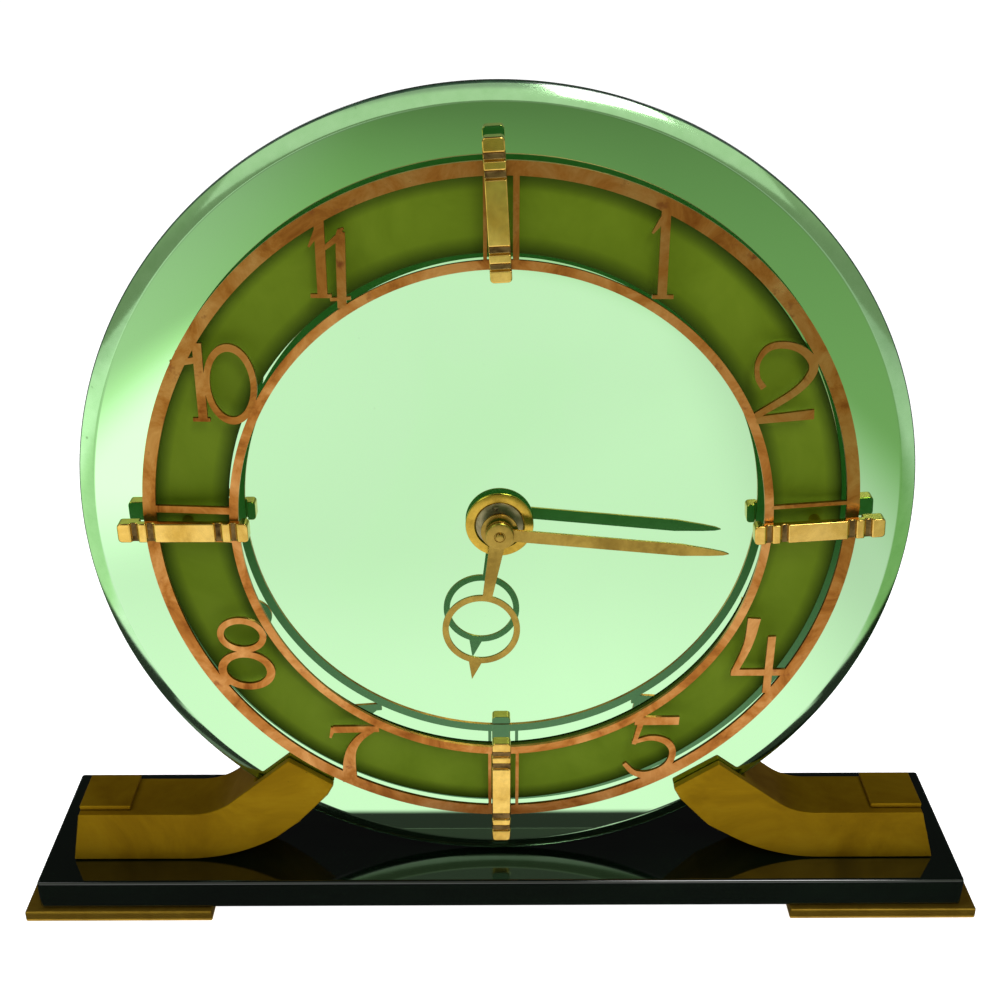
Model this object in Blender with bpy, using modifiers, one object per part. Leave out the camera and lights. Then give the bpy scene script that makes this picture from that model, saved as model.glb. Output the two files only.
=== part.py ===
"""Art Deco mantel clock: a round green mirror held by two brass brackets on a black slab, with an openwork
copper chapter ring standing off the mirror, two brass hands and a wind-up lever movement behind.

Lengths are in millimetres and are turned into metres by MM. Dial pieces are modelled in the dial's own frame:
u to the right, v up and w out of the mirror's face towards the viewer.
"""

import math

import bmesh
import bpy
from mathutils import Matrix

MM = 0.001
GAP = 0.3
QUARTER = math.pi / 2
FULL = 2 * math.pi

# Stand
FOOT_HEIGHT = 3.6
FOOT_INNER_X = 85.4
FOOT_OUTER_X = 140.5
FOOT_FRONT = 14.5
FOOT_BACK = -43.0
BASE_HALF_WIDTH = 136.0
BASE_FRONT = 13.0
BASE_BACK = -42.0
BASE_TOP_Z = 13.4
BRACKET_FRONT = 2.6
BRACKET_BACK = -16.0
BRACKET_TOP_V = 16.5
# The right bracket stands this much further out than the left one, and its arm ends this much lower.
RIGHT_SHIFT = 1.6
RIGHT_NOSE_DROP = 1.5
PAD_X = (109.1, 124.1)
PAD_THICKNESS = 1.4
BRACKET_BOLT_X = (101.0, 120.0)
BRACKET_BOLT_W = -8.0
BOLT_RADIUS = 2.0
BOLT_HEAD_RADIUS = 3.9
BOLT_TOP_Z = 23.4

# Mirror and dial
DIAL_Z = BASE_TOP_Z + 111.0
MIRROR_SHIFT = -0.9
# The hub, the hands and the movement sit this far from the centre of the chapter ring.
HUB_SHIFT = (-0.55, -1.0)
HUB_HOLE = 5.2
MIRROR_RADIUS = 110.0
MIRROR_THICKNESS = 5.0
BOARD_RADIUS = 94.0
BOARD_THICKNESS = 2.0
BAND_INNER = 71.4
BAND_OUTER = 90.3
RING_FRONT = 6.3
RING_BACK = 5.3
RING_OUTER = 93.4
# The ring is dished: its outer edge lies this much nearer to the mirror than its inner band.
RING_DISH = 2.2
RING_OUTER_BAND = 3.4
RING_INNER = 68.4
RING_INNER_BAND = 2.3
CLAMP_INNER = 65.7
CLAMP_OUTER = 99.5
CLAMP_WIDTH = 5.3
CLAMP_FRONT = 8.8
CLAMP_BACK = 4.9
STUD_CIRCLE = (CLAMP_INNER + CLAMP_OUTER) / 2
# Each clamp's direction from the dial centre and its lean about its own stud, in degrees
CLAMPS = {"12": (90.8, 2.5), "3": (0.0, 4.0), "6": (270.0, 0.0), "9": (180.0, 0.0)}
# Grooves across each clamp, as fractions of its length from the outer end
CLAMP_GROOVES = ((0.10, 0.16), (0.22, 0.285), (0.74, 0.80), (0.86, 0.915))
STUD_RADIUS = 1.5
STUD_END = -10.5
STUD_HOLE = 1.8

# Hands, in degrees clockwise from twelve
HOUR_ANGLE = 189.6
MINUTE_ANGLE = 95.5
HOUR_HAND_BACK = 5.6
MINUTE_HAND_BACK = 7.2
HAND_THICKNESS = 0.7
ARBOR_RADIUS = 0.95

# Movement: plates and case
CASE_RADIUS = 34.0
CASE_WALL = 1.0
CASE_FRONT = -7.6
CASE_BACK = -33.0
COVER_FRONT = -33.3
COVER_BACK = -34.3
PLATE_RADIUS = 31.0
FRONT_PLATE = (-12.0, -13.2)
BACK_PLATE = (-27.5, -28.7)
PILLAR_CIRCLE = 28.0
PILLAR_DEGREES = (0.0, 75.0, 270.0)
PIVOT = 0.6
PIVOT_HOLE = 0.9
KEY_BACK = -44.0

# Movement: wheel train, with each wheel's teeth and its tooth module
CENTRE_TEETH, CENTRE_MODULE = 60, 0.30
GREAT_TEETH, GREAT_MODULE = 60, 0.40
CENTRE_PINION = 10
THIRD_TEETH, THIRD_MODULE = 64, 0.26
THIRD_PINION = 8
FOURTH_TEETH, FOURTH_MODULE = 64, 0.22
FOURTH_PINION = 8
ESCAPE_PINION = 8
ESCAPE_TEETH = 15
ESCAPE_RADIUS = 5.5
CANNON_TEETH, MOTION_MODULE = 12, 0.35
MINUTE_TEETH = 36
HOUR_TEETH, HOUR_MODULE = 40, 0.336
MINUTE_PINION = 10
BARREL_RADIUS = 11.0
RATCHET_RADIUS = 6.0
RATCHET_TEETH = 20
BALANCE_RADIUS = 6.2

# The back of the winding key and the front of the feet are equally far from the origin.
FACE_Y = (FOOT_FRONT + KEY_BACK) / 2


def polar(centre, distance, degrees):
    angle = math.radians(degrees)
    return (centre[0] + distance * math.cos(angle), centre[1] + distance * math.sin(angle))


def mesh_distance(module, teeth, pinion):
    return module * (teeth + pinion) / 2


CENTRE = (0.0, 0.0)
BARREL_DEGREES = 210.0
THIRD_DEGREES = 60.0
FOURTH_DEGREES = 120.0
ESCAPE_DEGREES = 160.5
MINUTE_WHEEL_DEGREES = 0.0
BARREL = polar(CENTRE, mesh_distance(GREAT_MODULE, GREAT_TEETH, CENTRE_PINION), BARREL_DEGREES)
THIRD = polar(CENTRE, mesh_distance(CENTRE_MODULE, CENTRE_TEETH, THIRD_PINION), THIRD_DEGREES)
FOURTH = polar(THIRD, mesh_distance(THIRD_MODULE, THIRD_TEETH, FOURTH_PINION), FOURTH_DEGREES)
ESCAPE = polar(FOURTH, mesh_distance(FOURTH_MODULE, FOURTH_TEETH, ESCAPE_PINION), ESCAPE_DEGREES)
PALLET_DEGREES = 199.4
PALLET = polar(ESCAPE, 7.53, PALLET_DEGREES)
BALANCE = polar(PALLET, 7.1, 220.5)
MINUTE_WHEEL = polar(CENTRE, mesh_distance(MOTION_MODULE, MINUTE_TEETH, CANNON_TEETH), MINUTE_WHEEL_DEGREES)
CLICK = polar(BARREL, 10.2, -25.0)
REGULATOR_DEGREES = 35.0
REGULATOR_REACH = 11.0


# ---------------------------------------------------------------- materials and scene

COLOURS = {
    "black_gloss": ((0.006, 0.009, 0.007), 0.12, 0.0),
    "antique_brass": ((0.33, 0.22, 0.06), 0.42, 1.0),
    "foot_brass": ((0.30, 0.20, 0.07), 0.45, 1.0),
    "green_mirror": ((0.30, 0.60, 0.32), 0.03, 1.0),
    "olive_band": ((0.16, 0.25, 0.03), 0.55, 0.0),
    "board": ((0.09, 0.07, 0.05), 0.80, 0.0),
    "copper": ((0.46, 0.22, 0.09), 0.40, 1.0),
    "polished_brass": ((0.75, 0.50, 0.13), 0.18, 1.0),
    "hand_brass": ((0.48, 0.31, 0.07), 0.35, 1.0),
    "grey_brass": ((0.30, 0.27, 0.20), 0.45, 1.0),
    "steel": ((0.45, 0.45, 0.44), 0.30, 1.0),
    "blued_steel": ((0.10, 0.13, 0.20), 0.30, 1.0),
    "movement_brass": ((0.62, 0.45, 0.16), 0.30, 1.0),
}


def clear_scene():
    for old in list(bpy.data.objects):
        bpy.data.objects.remove(old, do_unlink=True)


def new_collection(name):
    collection = bpy.data.collections.new(name)
    bpy.context.scene.collection.children.link(collection)
    return collection


def material(name):
    found = bpy.data.materials.get(name)
    if found:
        return found
    colour, roughness, metallic = COLOURS[name]
    made = bpy.data.materials.new(name)
    made.use_nodes = True
    shader = made.node_tree.nodes["Principled BSDF"]
    shader.inputs["Base Color"].default_value = (*colour, 1.0)
    shader.inputs["Roughness"].default_value = roughness
    shader.inputs["Metallic"].default_value = metallic
    return made


def frame_empty(name, x, y, z):
    """An empty whose local XY plane stands upright, with local +Z towards the viewer."""
    empty = bpy.data.objects.new(name, None)
    empty.location = (x * MM, y * MM, z * MM)
    empty.rotation_euler = (QUARTER, 0.0, 0.0)
    PARTS.objects.link(empty)
    return empty


clear_scene()
PARTS = new_collection("mantel_clock")
CUTTERS = new_collection("cutters")
DIAL = frame_empty("dial_frame", 0.0, FACE_Y, DIAL_Z)
MOVEMENT = frame_empty("movement_frame", HUB_SHIFT[0], FACE_Y, DIAL_Z + HUB_SHIFT[1])
STAND = frame_empty("stand_frame", 0.0, FACE_Y, BASE_TOP_Z)


def place(obj, parent, at=(0.0, 0.0), turn=0.0):
    obj.parent = parent
    obj.location = (at[0] * MM, at[1] * MM, 0.0)
    obj.rotation_euler = (0.0, 0.0, turn)
    return obj


def finish_mesh(obj, colour):
    obj.data.materials.clear()
    obj.data.materials.append(material(colour))
    return obj


# ---------------------------------------------------------------- outlines, as lists of (x, y)

def arc(centre, radius, start, end, points):
    """Points along an arc, angles in degrees, ends included."""
    step = (end - start) / (points - 1)
    return [polar(centre, radius, start + step * index) for index in range(points)]


def circle(radius, points=24, centre=(0.0, 0.0)):
    return [polar(centre, radius, 360.0 * index / points) for index in range(points)]


def ellipse(centre, half_width, half_height, points=20):
    return [(centre[0] + half_width * x, centre[1] + half_height * y) for x, y in circle(1.0, points)]


def ribbon(route):
    """Outline of a stroke that follows (x, y, width) points."""
    left, right = [], []
    for index, (x, y, width) in enumerate(route):
        before = route[max(index - 1, 0)]
        after = route[min(index + 1, len(route) - 1)]
        dx, dy = after[0] - before[0], after[1] - before[1]
        length = math.hypot(dx, dy)
        nx, ny = -dy / length * width / 2, dx / length * width / 2
        left.append((x + nx, y + ny))
        right.append((x - nx, y - ny))
    return left + right[::-1]


def toothed(teeth, tip, root, phase=0.0, lean=0.5):
    """A wheel's outline with pointed teeth; lean moves each root between its two tips."""
    outline = []
    for index in range(teeth):
        angle = phase + FULL * index / teeth
        valley = angle + FULL * lean / teeth
        outline.append((tip * math.cos(angle), tip * math.sin(angle)))
        outline.append((root * math.cos(valley), root * math.sin(valley)))
    return outline


def gear(teeth, module, phase=0.0):
    pitch = teeth * module / 2
    return toothed(teeth, pitch + 0.5 * module, pitch - 1.0 * module, phase)


def meshed_phase(driver_phase, driver_teeth, degrees, teeth):
    """The phase that puts a gap of the second wheel over a tooth of the first on their line of centres."""
    direction = math.radians(degrees)
    lead = (direction - driver_phase) * driver_teeth
    return direction + math.pi - (math.pi - lead) / teeth


def windows(inner, outer, count, web=22.0):
    """Openings between a wheel's spokes, each a ring segment."""
    pitch = 360.0 / count
    cut = []
    for index in range(count):
        start = pitch * index + web / 2
        end = pitch * (index + 1) - web / 2
        cut.append(arc(CENTRE, outer, start, end, 4) + arc(CENTRE, inner, end - 6.0, start + 6.0, 2))
    return cut


# ---------------------------------------------------------------- solids

def flat(name, outlines, low, high, colour="steel", collection=None):
    """A flat piece from low to high along its Z: the first outline filled, the others holes in it."""
    curve = bpy.data.curves.new(name, "CURVE")
    curve.dimensions = "2D"
    curve.fill_mode = "BOTH"
    curve.extrude = (high - low) / 2 * MM
    for outline in outlines:
        spline = curve.splines.new("POLY")
        spline.points.add(len(outline) - 1)
        for point, (x, y) in zip(spline.points, outline):
            point.co = (x * MM, y * MM, 0.0, 1.0)
        spline.use_cyclic_u = True
    guide = bpy.data.objects.new(name, curve)
    CUTTERS.objects.link(guide)
    evaluated = guide.evaluated_get(bpy.context.evaluated_depsgraph_get())
    mesh = bpy.data.meshes.new_from_object(evaluated)
    bpy.data.objects.remove(guide, do_unlink=True)
    shape = bmesh.new()
    shape.from_mesh(mesh)
    bmesh.ops.remove_doubles(shape, verts=shape.verts, dist=1e-7)
    bmesh.ops.translate(shape, verts=shape.verts, vec=(0.0, 0.0, (high + low) / 2 * MM))
    bmesh.ops.recalc_face_normals(shape, faces=shape.faces)
    shape.to_mesh(mesh)
    shape.free()
    mesh.name = name
    obj = bpy.data.objects.new(name, mesh)
    (collection or PARTS).objects.link(obj)
    return finish_mesh(obj, colour)


def turned(name, profile, colour="steel", steps=32, collection=None):
    """A piece turned about its Z from (radius, height) points, which run down its outer side."""
    closed = profile[0][0] > 0.0 or profile[-1][0] > 0.0
    mesh = bpy.data.meshes.new(name)
    edges = [(index, index + 1) for index in range(len(profile) - 1)]
    if closed:
        edges.append((len(profile) - 1, 0))
    mesh.from_pydata([(radius * MM, 0.0, height * MM) for radius, height in profile], edges, [])
    obj = bpy.data.objects.new(name, mesh)
    (collection or PARTS).objects.link(obj)
    screw = obj.modifiers.new("Turn", "SCREW")
    screw.axis = "Z"
    screw.steps = steps
    screw.render_steps = steps
    screw.use_merge_vertices = True
    screw.merge_threshold = 1e-5
    screw.use_smooth_shade = True
    return finish_mesh(obj, colour)


def rod_profile(radius, low, high):
    return [(0.0, high), (radius, high), (radius, low), (0.0, low)]


def tube_profile(outer, inner, low, high):
    return [(outer, high), (outer, low), (inner, low), (inner, high)]


def block(name, x, y, z, colour="steel", bevel=0.0, segments=2, collection=None):
    """A box between three pairs of limits, given in the frame it is placed in."""
    shape = bmesh.new()
    size = Matrix.Diagonal(((x[1] - x[0]) * MM, (y[1] - y[0]) * MM, (z[1] - z[0]) * MM, 1.0))
    centre = [(low + high) / 2 * MM for low, high in (x, y, z)]
    bmesh.ops.create_cube(shape, size=1.0, matrix=Matrix.Translation(centre) @ size)
    mesh = bpy.data.meshes.new(name)
    shape.to_mesh(mesh)
    shape.free()
    obj = bpy.data.objects.new(name, mesh)
    (collection or PARTS).objects.link(obj)
    if bevel:
        soften(obj, bevel, segments)
    return finish_mesh(obj, colour)


def soften(obj, width, segments=2, degrees=40.0):
    bevel = obj.modifiers.new("Soft edges", "BEVEL")
    bevel.width = width * MM
    bevel.segments = segments
    bevel.limit_method = "ANGLE"
    bevel.angle_limit = math.radians(degrees)


def hide_tool(tool):
    tool.hide_render = True
    tool.display_type = "WIRE"


def cut(obj, tools):
    for tool in tools:
        hide_tool(tool)
        boolean = obj.modifiers.new("Cut", "BOOLEAN")
        boolean.operation = "DIFFERENCE"
        boolean.object = tool
    return obj


def join(obj, tools):
    for tool in tools:
        hide_tool(tool)
        boolean = obj.modifiers.new("Join", "BOOLEAN")
        boolean.operation = "UNION"
        boolean.object = tool
    return obj


def drill(name, radius, low, high, parent, at, steps=16):
    tool = turned(name, rod_profile(radius, low, high), steps=steps, collection=CUTTERS)
    return place(tool, parent, at)


# ---------------------------------------------------------------- stand

def upright(name, radius_profile, x, w, steps=12, colour="steel", collection=None):
    """A turned piece standing on world Z at x and depth w."""
    obj = turned(name, radius_profile, colour, steps, collection)
    obj.location = (x * MM, (FACE_Y - w) * MM, 0.0)
    return obj


def depth(w_front, w_back):
    return (FACE_Y - w_front, FACE_Y - w_back)


def make_base():
    slab = block(
        "base_slab",
        (-BASE_HALF_WIDTH, BASE_HALF_WIDTH),
        depth(BASE_FRONT, BASE_BACK),
        (FOOT_HEIGHT + GAP, BASE_TOP_Z),
        "black_gloss",
        0.9,
    )
    holes = [
        upright(
            f"base_hole_{index}",
            rod_profile(BOLT_RADIUS + GAP, 0.0, BASE_TOP_Z + 1.0),
            x,
            BRACKET_BOLT_W,
            collection=CUTTERS,
        )
        for index, x in enumerate(bolt_places())
    ]
    cut(slab, holes)


def bolt_places():
    return [side * x for side in (-1, 1) for x in BRACKET_BOLT_X]


def make_foot(name, side):
    limits = sorted((side * FOOT_INNER_X, side * FOOT_OUTER_X))
    foot = block(name, limits, depth(FOOT_FRONT, FOOT_BACK), (0.0, FOOT_HEIGHT), "foot_brass", 0.6)
    head_room = 2.1
    stepped = [
        (0.0, FOOT_HEIGHT + 1.0),
        (BOLT_RADIUS + GAP, FOOT_HEIGHT + 1.0),
        (BOLT_RADIUS + GAP, head_room),
        (BOLT_HEAD_RADIUS + GAP, head_room),
        (BOLT_HEAD_RADIUS + GAP, -1.0),
        (0.0, -1.0),
    ]
    cut(foot, [upright(f"{name}_hole_{x:.0f}", stepped, side * x, BRACKET_BOLT_W, collection=CUTTERS)
               for x in BRACKET_BOLT_X])


def make_bracket_bolts():
    head_low, head_high = 0.4, 1.8
    profile = [
        (0.0, BOLT_TOP_Z),
        (BOLT_RADIUS - 0.4, BOLT_TOP_Z),
        (BOLT_RADIUS, BOLT_TOP_Z - 0.6),
        (BOLT_RADIUS, head_high),
        (BOLT_HEAD_RADIUS, head_high),
        (BOLT_HEAD_RADIUS, head_low),
        (0.0, head_low),
    ]
    for index, x in enumerate(bolt_places(), 1):
        upright(f"bracket_bolt_{index}", profile, x, BRACKET_BOLT_W, 12, "steel")


def bracket_outline(side):
    """Seen from the front: a foot on the slab, an arm swept up under the mirror and a flat top."""
    shift, drop = (RIGHT_SHIFT, RIGHT_NOSE_DROP) if side > 0 else (0.0, 0.0)
    nose = [(59.5, 13.8), (50.5, 23.5), (48.6, 27.0), (61.3, 35.4)]
    outline = [(127.3, GAP)] + arc((94.0, 52.3), 52.0, 270.0, 238.0, 8)
    outline += [(x, v - drop) for x, v in nose] + arc((91.0, 35.5), 19.0, 232.0, 270.0, 6)
    return [(side * (x + shift), v) for x, v in outline] + [(side * PAD_X[1], BRACKET_TOP_V)]


def make_bracket(name, side):
    bracket = flat(name, [bracket_outline(side)], BRACKET_BACK, BRACKET_FRONT, "antique_brass")
    place(bracket, STAND)
    soften(bracket, 0.45, 2, 50.0)
    slot = turned(
        f"{name}_slot",
        rod_profile(MIRROR_RADIUS + 0.4, -MIRROR_THICKNESS - GAP, GAP),
        steps=96,
        collection=CUTTERS,
    )
    place(slot, STAND, (MIRROR_SHIFT, DIAL_Z - BASE_TOP_Z))
    holes = [
        upright(
            f"{name}_hole_{x:.0f}",
            rod_profile(BOLT_RADIUS + GAP, BASE_TOP_Z - 1.0, BOLT_TOP_Z + 1.0),
            side * x,
            BRACKET_BOLT_W,
            collection=CUTTERS,
        )
        for x in BRACKET_BOLT_X
    ]
    cut(bracket, [slot] + holes)


def make_pad(name, side):
    low = BASE_TOP_Z + BRACKET_TOP_V + GAP
    block(
        name,
        sorted(side * x for x in PAD_X),
        depth(0.4, -15.7),
        (low, low + PAD_THICKNESS),
        "antique_brass",
        0.35,
    )


# ---------------------------------------------------------------- mirror and dial

def stud_places():
    return [polar(CENTRE, STUD_CIRCLE, direction) for direction, _ in CLAMPS.values()]


def from_mirror(point):
    """A dial point seen from the mirror's own centre."""
    return (point[0] - MIRROR_SHIFT, point[1])


def make_mirror():
    back = -MIRROR_THICKNESS
    core = 3.5
    profile = [
        (MIRROR_RADIUS - 4.0, 0.0),
        (MIRROR_RADIUS, -1.5),
        (MIRROR_RADIUS, back + 0.4),
        (MIRROR_RADIUS - 0.4, back),
        (core, back),
        (core, 0.0),
    ]
    mirror = turned("mirror_disc", profile, "green_mirror", 88)
    place(mirror, DIAL, (MIRROR_SHIFT, 0.0))
    tools = [drill("mirror_centre_hole", HUB_HOLE, back - 1.0, 1.0, DIAL, HUB_SHIFT, 20)]
    tools += [drill("mirror_stud_hole", STUD_HOLE, back - 1.0, 1.0, DIAL, at, 10) for at in stud_places()]
    cut(mirror, tools)


def dial_sheet(name, outer, inner, low, high, colour):
    outlines = [circle(outer, 64), inner]
    outlines += [circle(STUD_HOLE, 10, from_mirror(at)) for at in stud_places()]
    place(flat(name, outlines, low, high, colour), DIAL, (MIRROR_SHIFT, 0.0))


def numeral_strokes():
    """Strokes of the openwork numerals, each a route of (u, v, width) points."""
    return {
        "eleven": [
            [(-43.3, 61.4, 3.0), (-43.5, 80.5, 3.0)],
            [(-43.6, 77.4, 1.8), (-46.0, 73.4, 0.5)],
            [(-46.1, 61.8, 0.9), (-41.0, 61.8, 0.9)],
            [(-38.5, 58.9, 2.9), (-38.6, 77.8, 2.9), (-37.5, 79.2, 0.8)],
            [(-38.8, 77.2, 1.6), (-42.6, 74.2, 1.0)],
        ],
        "one": [
            [(38.6, 61.2, 2.7), (38.8, 82.3, 2.7)],
            [(38.5, 80.5, 1.8), (35.6, 76.6, 0.5)],
            [(36.1, 61.6, 0.9), (41.3, 61.5, 0.9)],
        ],
        "two": [
            [
                (65.1, 38.3, 1.6),
                (63.4, 41.0, 1.3),
                (63.2, 45.0, 1.2),
                (65.4, 48.3, 1.6),
                (69.3, 49.3, 2.0),
                (74.0, 48.3, 2.3),
                (77.7, 44.8, 3.0),
                (77.4, 41.0, 2.8),
                (73.4, 37.4, 2.4),
                (64.0, 32.5, 2.2),
            ],
            [(62.6, 31.8, 2.9), (79.0, 31.2, 2.9)],
        ],
        "ten_stem": [
            [(-74.7, 29.5, 3.4), (-74.9, 50.8, 3.4)],
            [(-77.6, 29.9, 0.9), (-73.2, 30.0, 0.9)],
        ],
        "eight_web": [[(-75.4, -47.0, 3.2), (-78.7, -49.5, 3.2)]],
        "seven": [
            [(-47.3, -62.9, 2.2), (-34.4, -62.2, 2.0)],
            [(-47.3, -62.2, 1.4), (-48.3, -65.8, 0.6)],
            [
                (-36.4, -62.5, 1.9),
                (-39.9, -65.6, 2.1),
                (-42.4, -69.7, 2.7),
                (-43.4, -75.0, 3.6),
                (-43.5, -81.8, 4.2),
            ],
        ],
        "five": [
            [(37.4, -59.8, 2.7), (49.9, -60.2, 2.7)],
            [(39.3, -59.9, 1.7), (37.5, -68.0, 1.2)],
            [
                (37.1, -67.4, 1.2),
                (42.3, -66.0, 1.6),
                (46.9, -67.6, 2.0),
                (48.8, -71.4, 1.9),
                (47.4, -76.2, 2.4),
                (42.8, -79.5, 3.4),
                (38.2, -78.5, 1.9),
                (35.1, -75.0, 1.3),
            ],
        ],
        "four": [
            [(66.9, -26.1, 4.6), (66.5, -35.2, 2.8), (64.0, -44.8, 1.9)],
            [(63.3, -44.4, 2.0), (80.1, -45.2, 2.0)],
            [(73.6, -32.4, 2.9), (73.8, -51.7, 2.9)],
        ],
        "bars": [
            [(-4.05, 69.5, 0.9), (-4.05, 91.5, 0.9)],
            [(3.3, 69.5, 1.5), (3.3, 91.5, 1.5)],
            [(-3.3, -69.5, 0.9), (-3.3, -91.5, 0.9)],
            [(4.5, -69.5, 0.9), (4.5, -91.5, 0.9)],
            [(-69.5, 5.5, 1.3), (-91.5, 5.3, 1.3)],
            [(-69.5, -3.4, 0.9), (-91.5, -3.4, 0.9)],
            [(69.5, 5.8, 1.0), (91.5, 6.4, 1.0)],
            [(69.5, -3.4, 0.9), (91.5, -3.4, 0.9)],
        ],
    }


def numeral_loops():
    """Closed loops of the round numerals: centre, then half sizes of the outer and the inner ellipse."""
    return {
        "zero": ((-66.9, 39.7), (6.0, 10.3), (4.8, 8.0)),
        "eight_top": ((-70.2, -31.7), (6.9, 5.7), (5.0, 3.6)),
        "eight_bottom": ((-70.1, -43.7), (8.0, 6.3), (5.35, 4.05)),
    }


def make_chapter_ring():
    thickness = (RING_BACK, RING_FRONT)
    ring = flat(
        "chapter_ring",
        [circle(RING_OUTER, 80), circle(RING_OUTER - RING_OUTER_BAND, 80)],
        *thickness,
        "copper",
    )
    inner_band = [circle(RING_INNER + RING_INNER_BAND, 64), circle(RING_INNER, 64)]
    tools = [flat("ring_inner_band", inner_band, *thickness, collection=CUTTERS)]
    for name, strokes in numeral_strokes().items():
        for index, stroke in enumerate(strokes):
            tools.append(flat(f"{name}_{index}", [ribbon(stroke)], *thickness, collection=CUTTERS))
    for name, (centre, outer, inner) in numeral_loops().items():
        loops = [ellipse(centre, *outer), ellipse(centre, *inner)]
        tools.append(flat(name, loops, *thickness, collection=CUTTERS))
    place(ring, DIAL)
    for tool in tools:
        place(tool, DIAL)
    join(ring, tools)
    dish(ring)


def dish(ring):
    """Applies the joined strokes and slopes the ring back towards the mirror from its inner band outwards."""
    evaluated = ring.evaluated_get(bpy.context.evaluated_depsgraph_get())
    mesh = bpy.data.meshes.new_from_object(evaluated)
    ring.modifiers.clear()
    ring.data = mesh
    start = (RING_INNER + RING_INNER_BAND) * MM
    slope = RING_DISH / (RING_OUTER - RING_INNER - RING_INNER_BAND)
    for vertex in mesh.vertices:
        radius = math.hypot(vertex.co.x, vertex.co.y)
        vertex.co.z -= slope * max(radius - start, 0.0)


def make_clamp(hour, direction, lean):
    """A grooved bridge across the chapter ring with a stud through the mirror. Local +Y runs outwards."""
    half = CLAMP_WIDTH / 2
    length = CLAMP_OUTER - CLAMP_INNER
    end = length / 2
    corner = 1.1
    outline = []
    for x, y, start in (
        (half - corner, end - corner, 0.0),
        (corner - half, end - corner, 90.0),
        (corner - half, corner - end, 180.0),
        (half - corner, corner - end, 270.0),
    ):
        outline += arc((x, y), corner, start, start + 90.0, 3)
    turn = math.radians(direction - 90.0 + lean)
    at = polar(CENTRE, STUD_CIRCLE, direction)
    clamp = flat(f"clamp_{hour}", [outline], CLAMP_BACK, CLAMP_FRONT, "polished_brass")
    soften(clamp, 0.35, 1, 50.0)
    place(clamp, DIAL, at, turn)
    across = (-half - 1.0, half + 1.0)
    recesses = []
    groove = (CLAMP_FRONT - 0.8, CLAMP_FRONT + 1.0)
    for near, far in CLAMP_GROOVES:
        recesses.append((across, (end - far * length, end - near * length), groove))
    bridge = (RING_INNER - STUD_CIRCLE - 0.5, RING_OUTER - STUD_CIRCLE + 0.5)
    recesses.append((across, bridge, (CLAMP_BACK - 1.0, RING_FRONT + GAP)))
    tools = []
    for index, limits in enumerate(recesses):
        tool = block(f"recess_{hour}_{index}", *limits, collection=CUTTERS)
        tools.append(place(tool, DIAL, at, turn))
    cut(clamp, tools)
    join(clamp, [drill(f"stud_{hour}", STUD_RADIUS, STUD_END, CLAMP_FRONT - 1.2, DIAL, at, 12)])


def make_clamp_nut(hour, direction):
    front = -MIRROR_THICKNESS - BOARD_THICKNESS - 2 * GAP
    nut = flat(f"clamp_nut_{hour}", [circle(3.2, 6), circle(STUD_HOLE, 12)], front - 2.0, front, "steel")
    place(nut, DIAL, polar(CENTRE, STUD_CIRCLE, direction))


def make_hub():
    collar_front, bush_front = 2.3, 2.2
    collar = [
        (8.6, collar_front),
        (9.0, collar_front - 0.4),
        (9.0, GAP),
        (6.4, GAP),
        (6.4, collar_front),
    ]
    place(turned("escutcheon_ring", collar, "polished_brass", 32), MOVEMENT)
    bush_back = -8.9
    bush = [
        (5.8, bush_front),
        (6.1, bush_front - 0.3),
        (6.1, GAP),
        (4.8, GAP),
        (4.8, bush_back),
        (3.4, bush_back),
        (3.4, bush_front),
    ]
    place(turned("centre_bush", bush, "grey_brass", 24), MOVEMENT)


def hour_outline():
    """Stem from the hub to an open ring, then a short point."""
    ring_centre, ring_radius = (0.0, 29.7), 10.5
    stem_root = math.degrees(math.acos(2.0 / 4.9))
    stem_end = math.degrees(math.acos(1.3 / ring_radius))
    tip_base = math.degrees(math.acos(1.75 / ring_radius))
    outline = arc(CENTRE, 4.9, 180.0 - stem_root, 360.0 + stem_root, 12)
    outline += arc(ring_centre, ring_radius, -stem_end, tip_base, 12)
    outline += [(0.0, 45.5)]
    outline += arc(ring_centre, ring_radius, 180.0 - tip_base, 180.0 + stem_end, 12)
    return [outline, circle(8.8, 24, ring_centre), circle(2.2, 16)]


def minute_outline():
    hub, half = 3.7, 1.65
    root = math.degrees(math.acos(half / hub))
    outline = arc(CENTRE, hub, 180.0 - root, 360.0 + root, 16)
    outline += [(half, 49.4), (0.6, 58.1), (0.0, 60.4), (-0.6, 58.1), (-half, 49.4)]
    return [outline, circle(1.3, 12)]


def make_hands():
    hour_front = HOUR_HAND_BACK + HAND_THICKNESS
    hour = flat("hour_hand", hour_outline(), HOUR_HAND_BACK, hour_front, "hand_brass")
    place(hour, MOVEMENT, turn=-math.radians(HOUR_ANGLE))
    minute_front = MINUTE_HAND_BACK + HAND_THICKNESS
    minute = flat("minute_hand", minute_outline(), MINUTE_HAND_BACK, minute_front, "hand_brass")
    place(minute, MOVEMENT, turn=-math.radians(MINUTE_ANGLE))
    seat, shoulder, tip = minute_front + GAP, 9.4, 10.1
    nut = [
        (0.0, tip),
        (0.8, tip - 0.1),
        (1.1, tip - 0.4),
        (1.1, shoulder),
        (2.5, shoulder),
        (2.8, shoulder - 0.2),
        (2.8, seat),
        (0.0, seat),
    ]
    place(turned("hand_nut", nut, "hand_brass", 20), MOVEMENT)


# ---------------------------------------------------------------- movement case and plates

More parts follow.
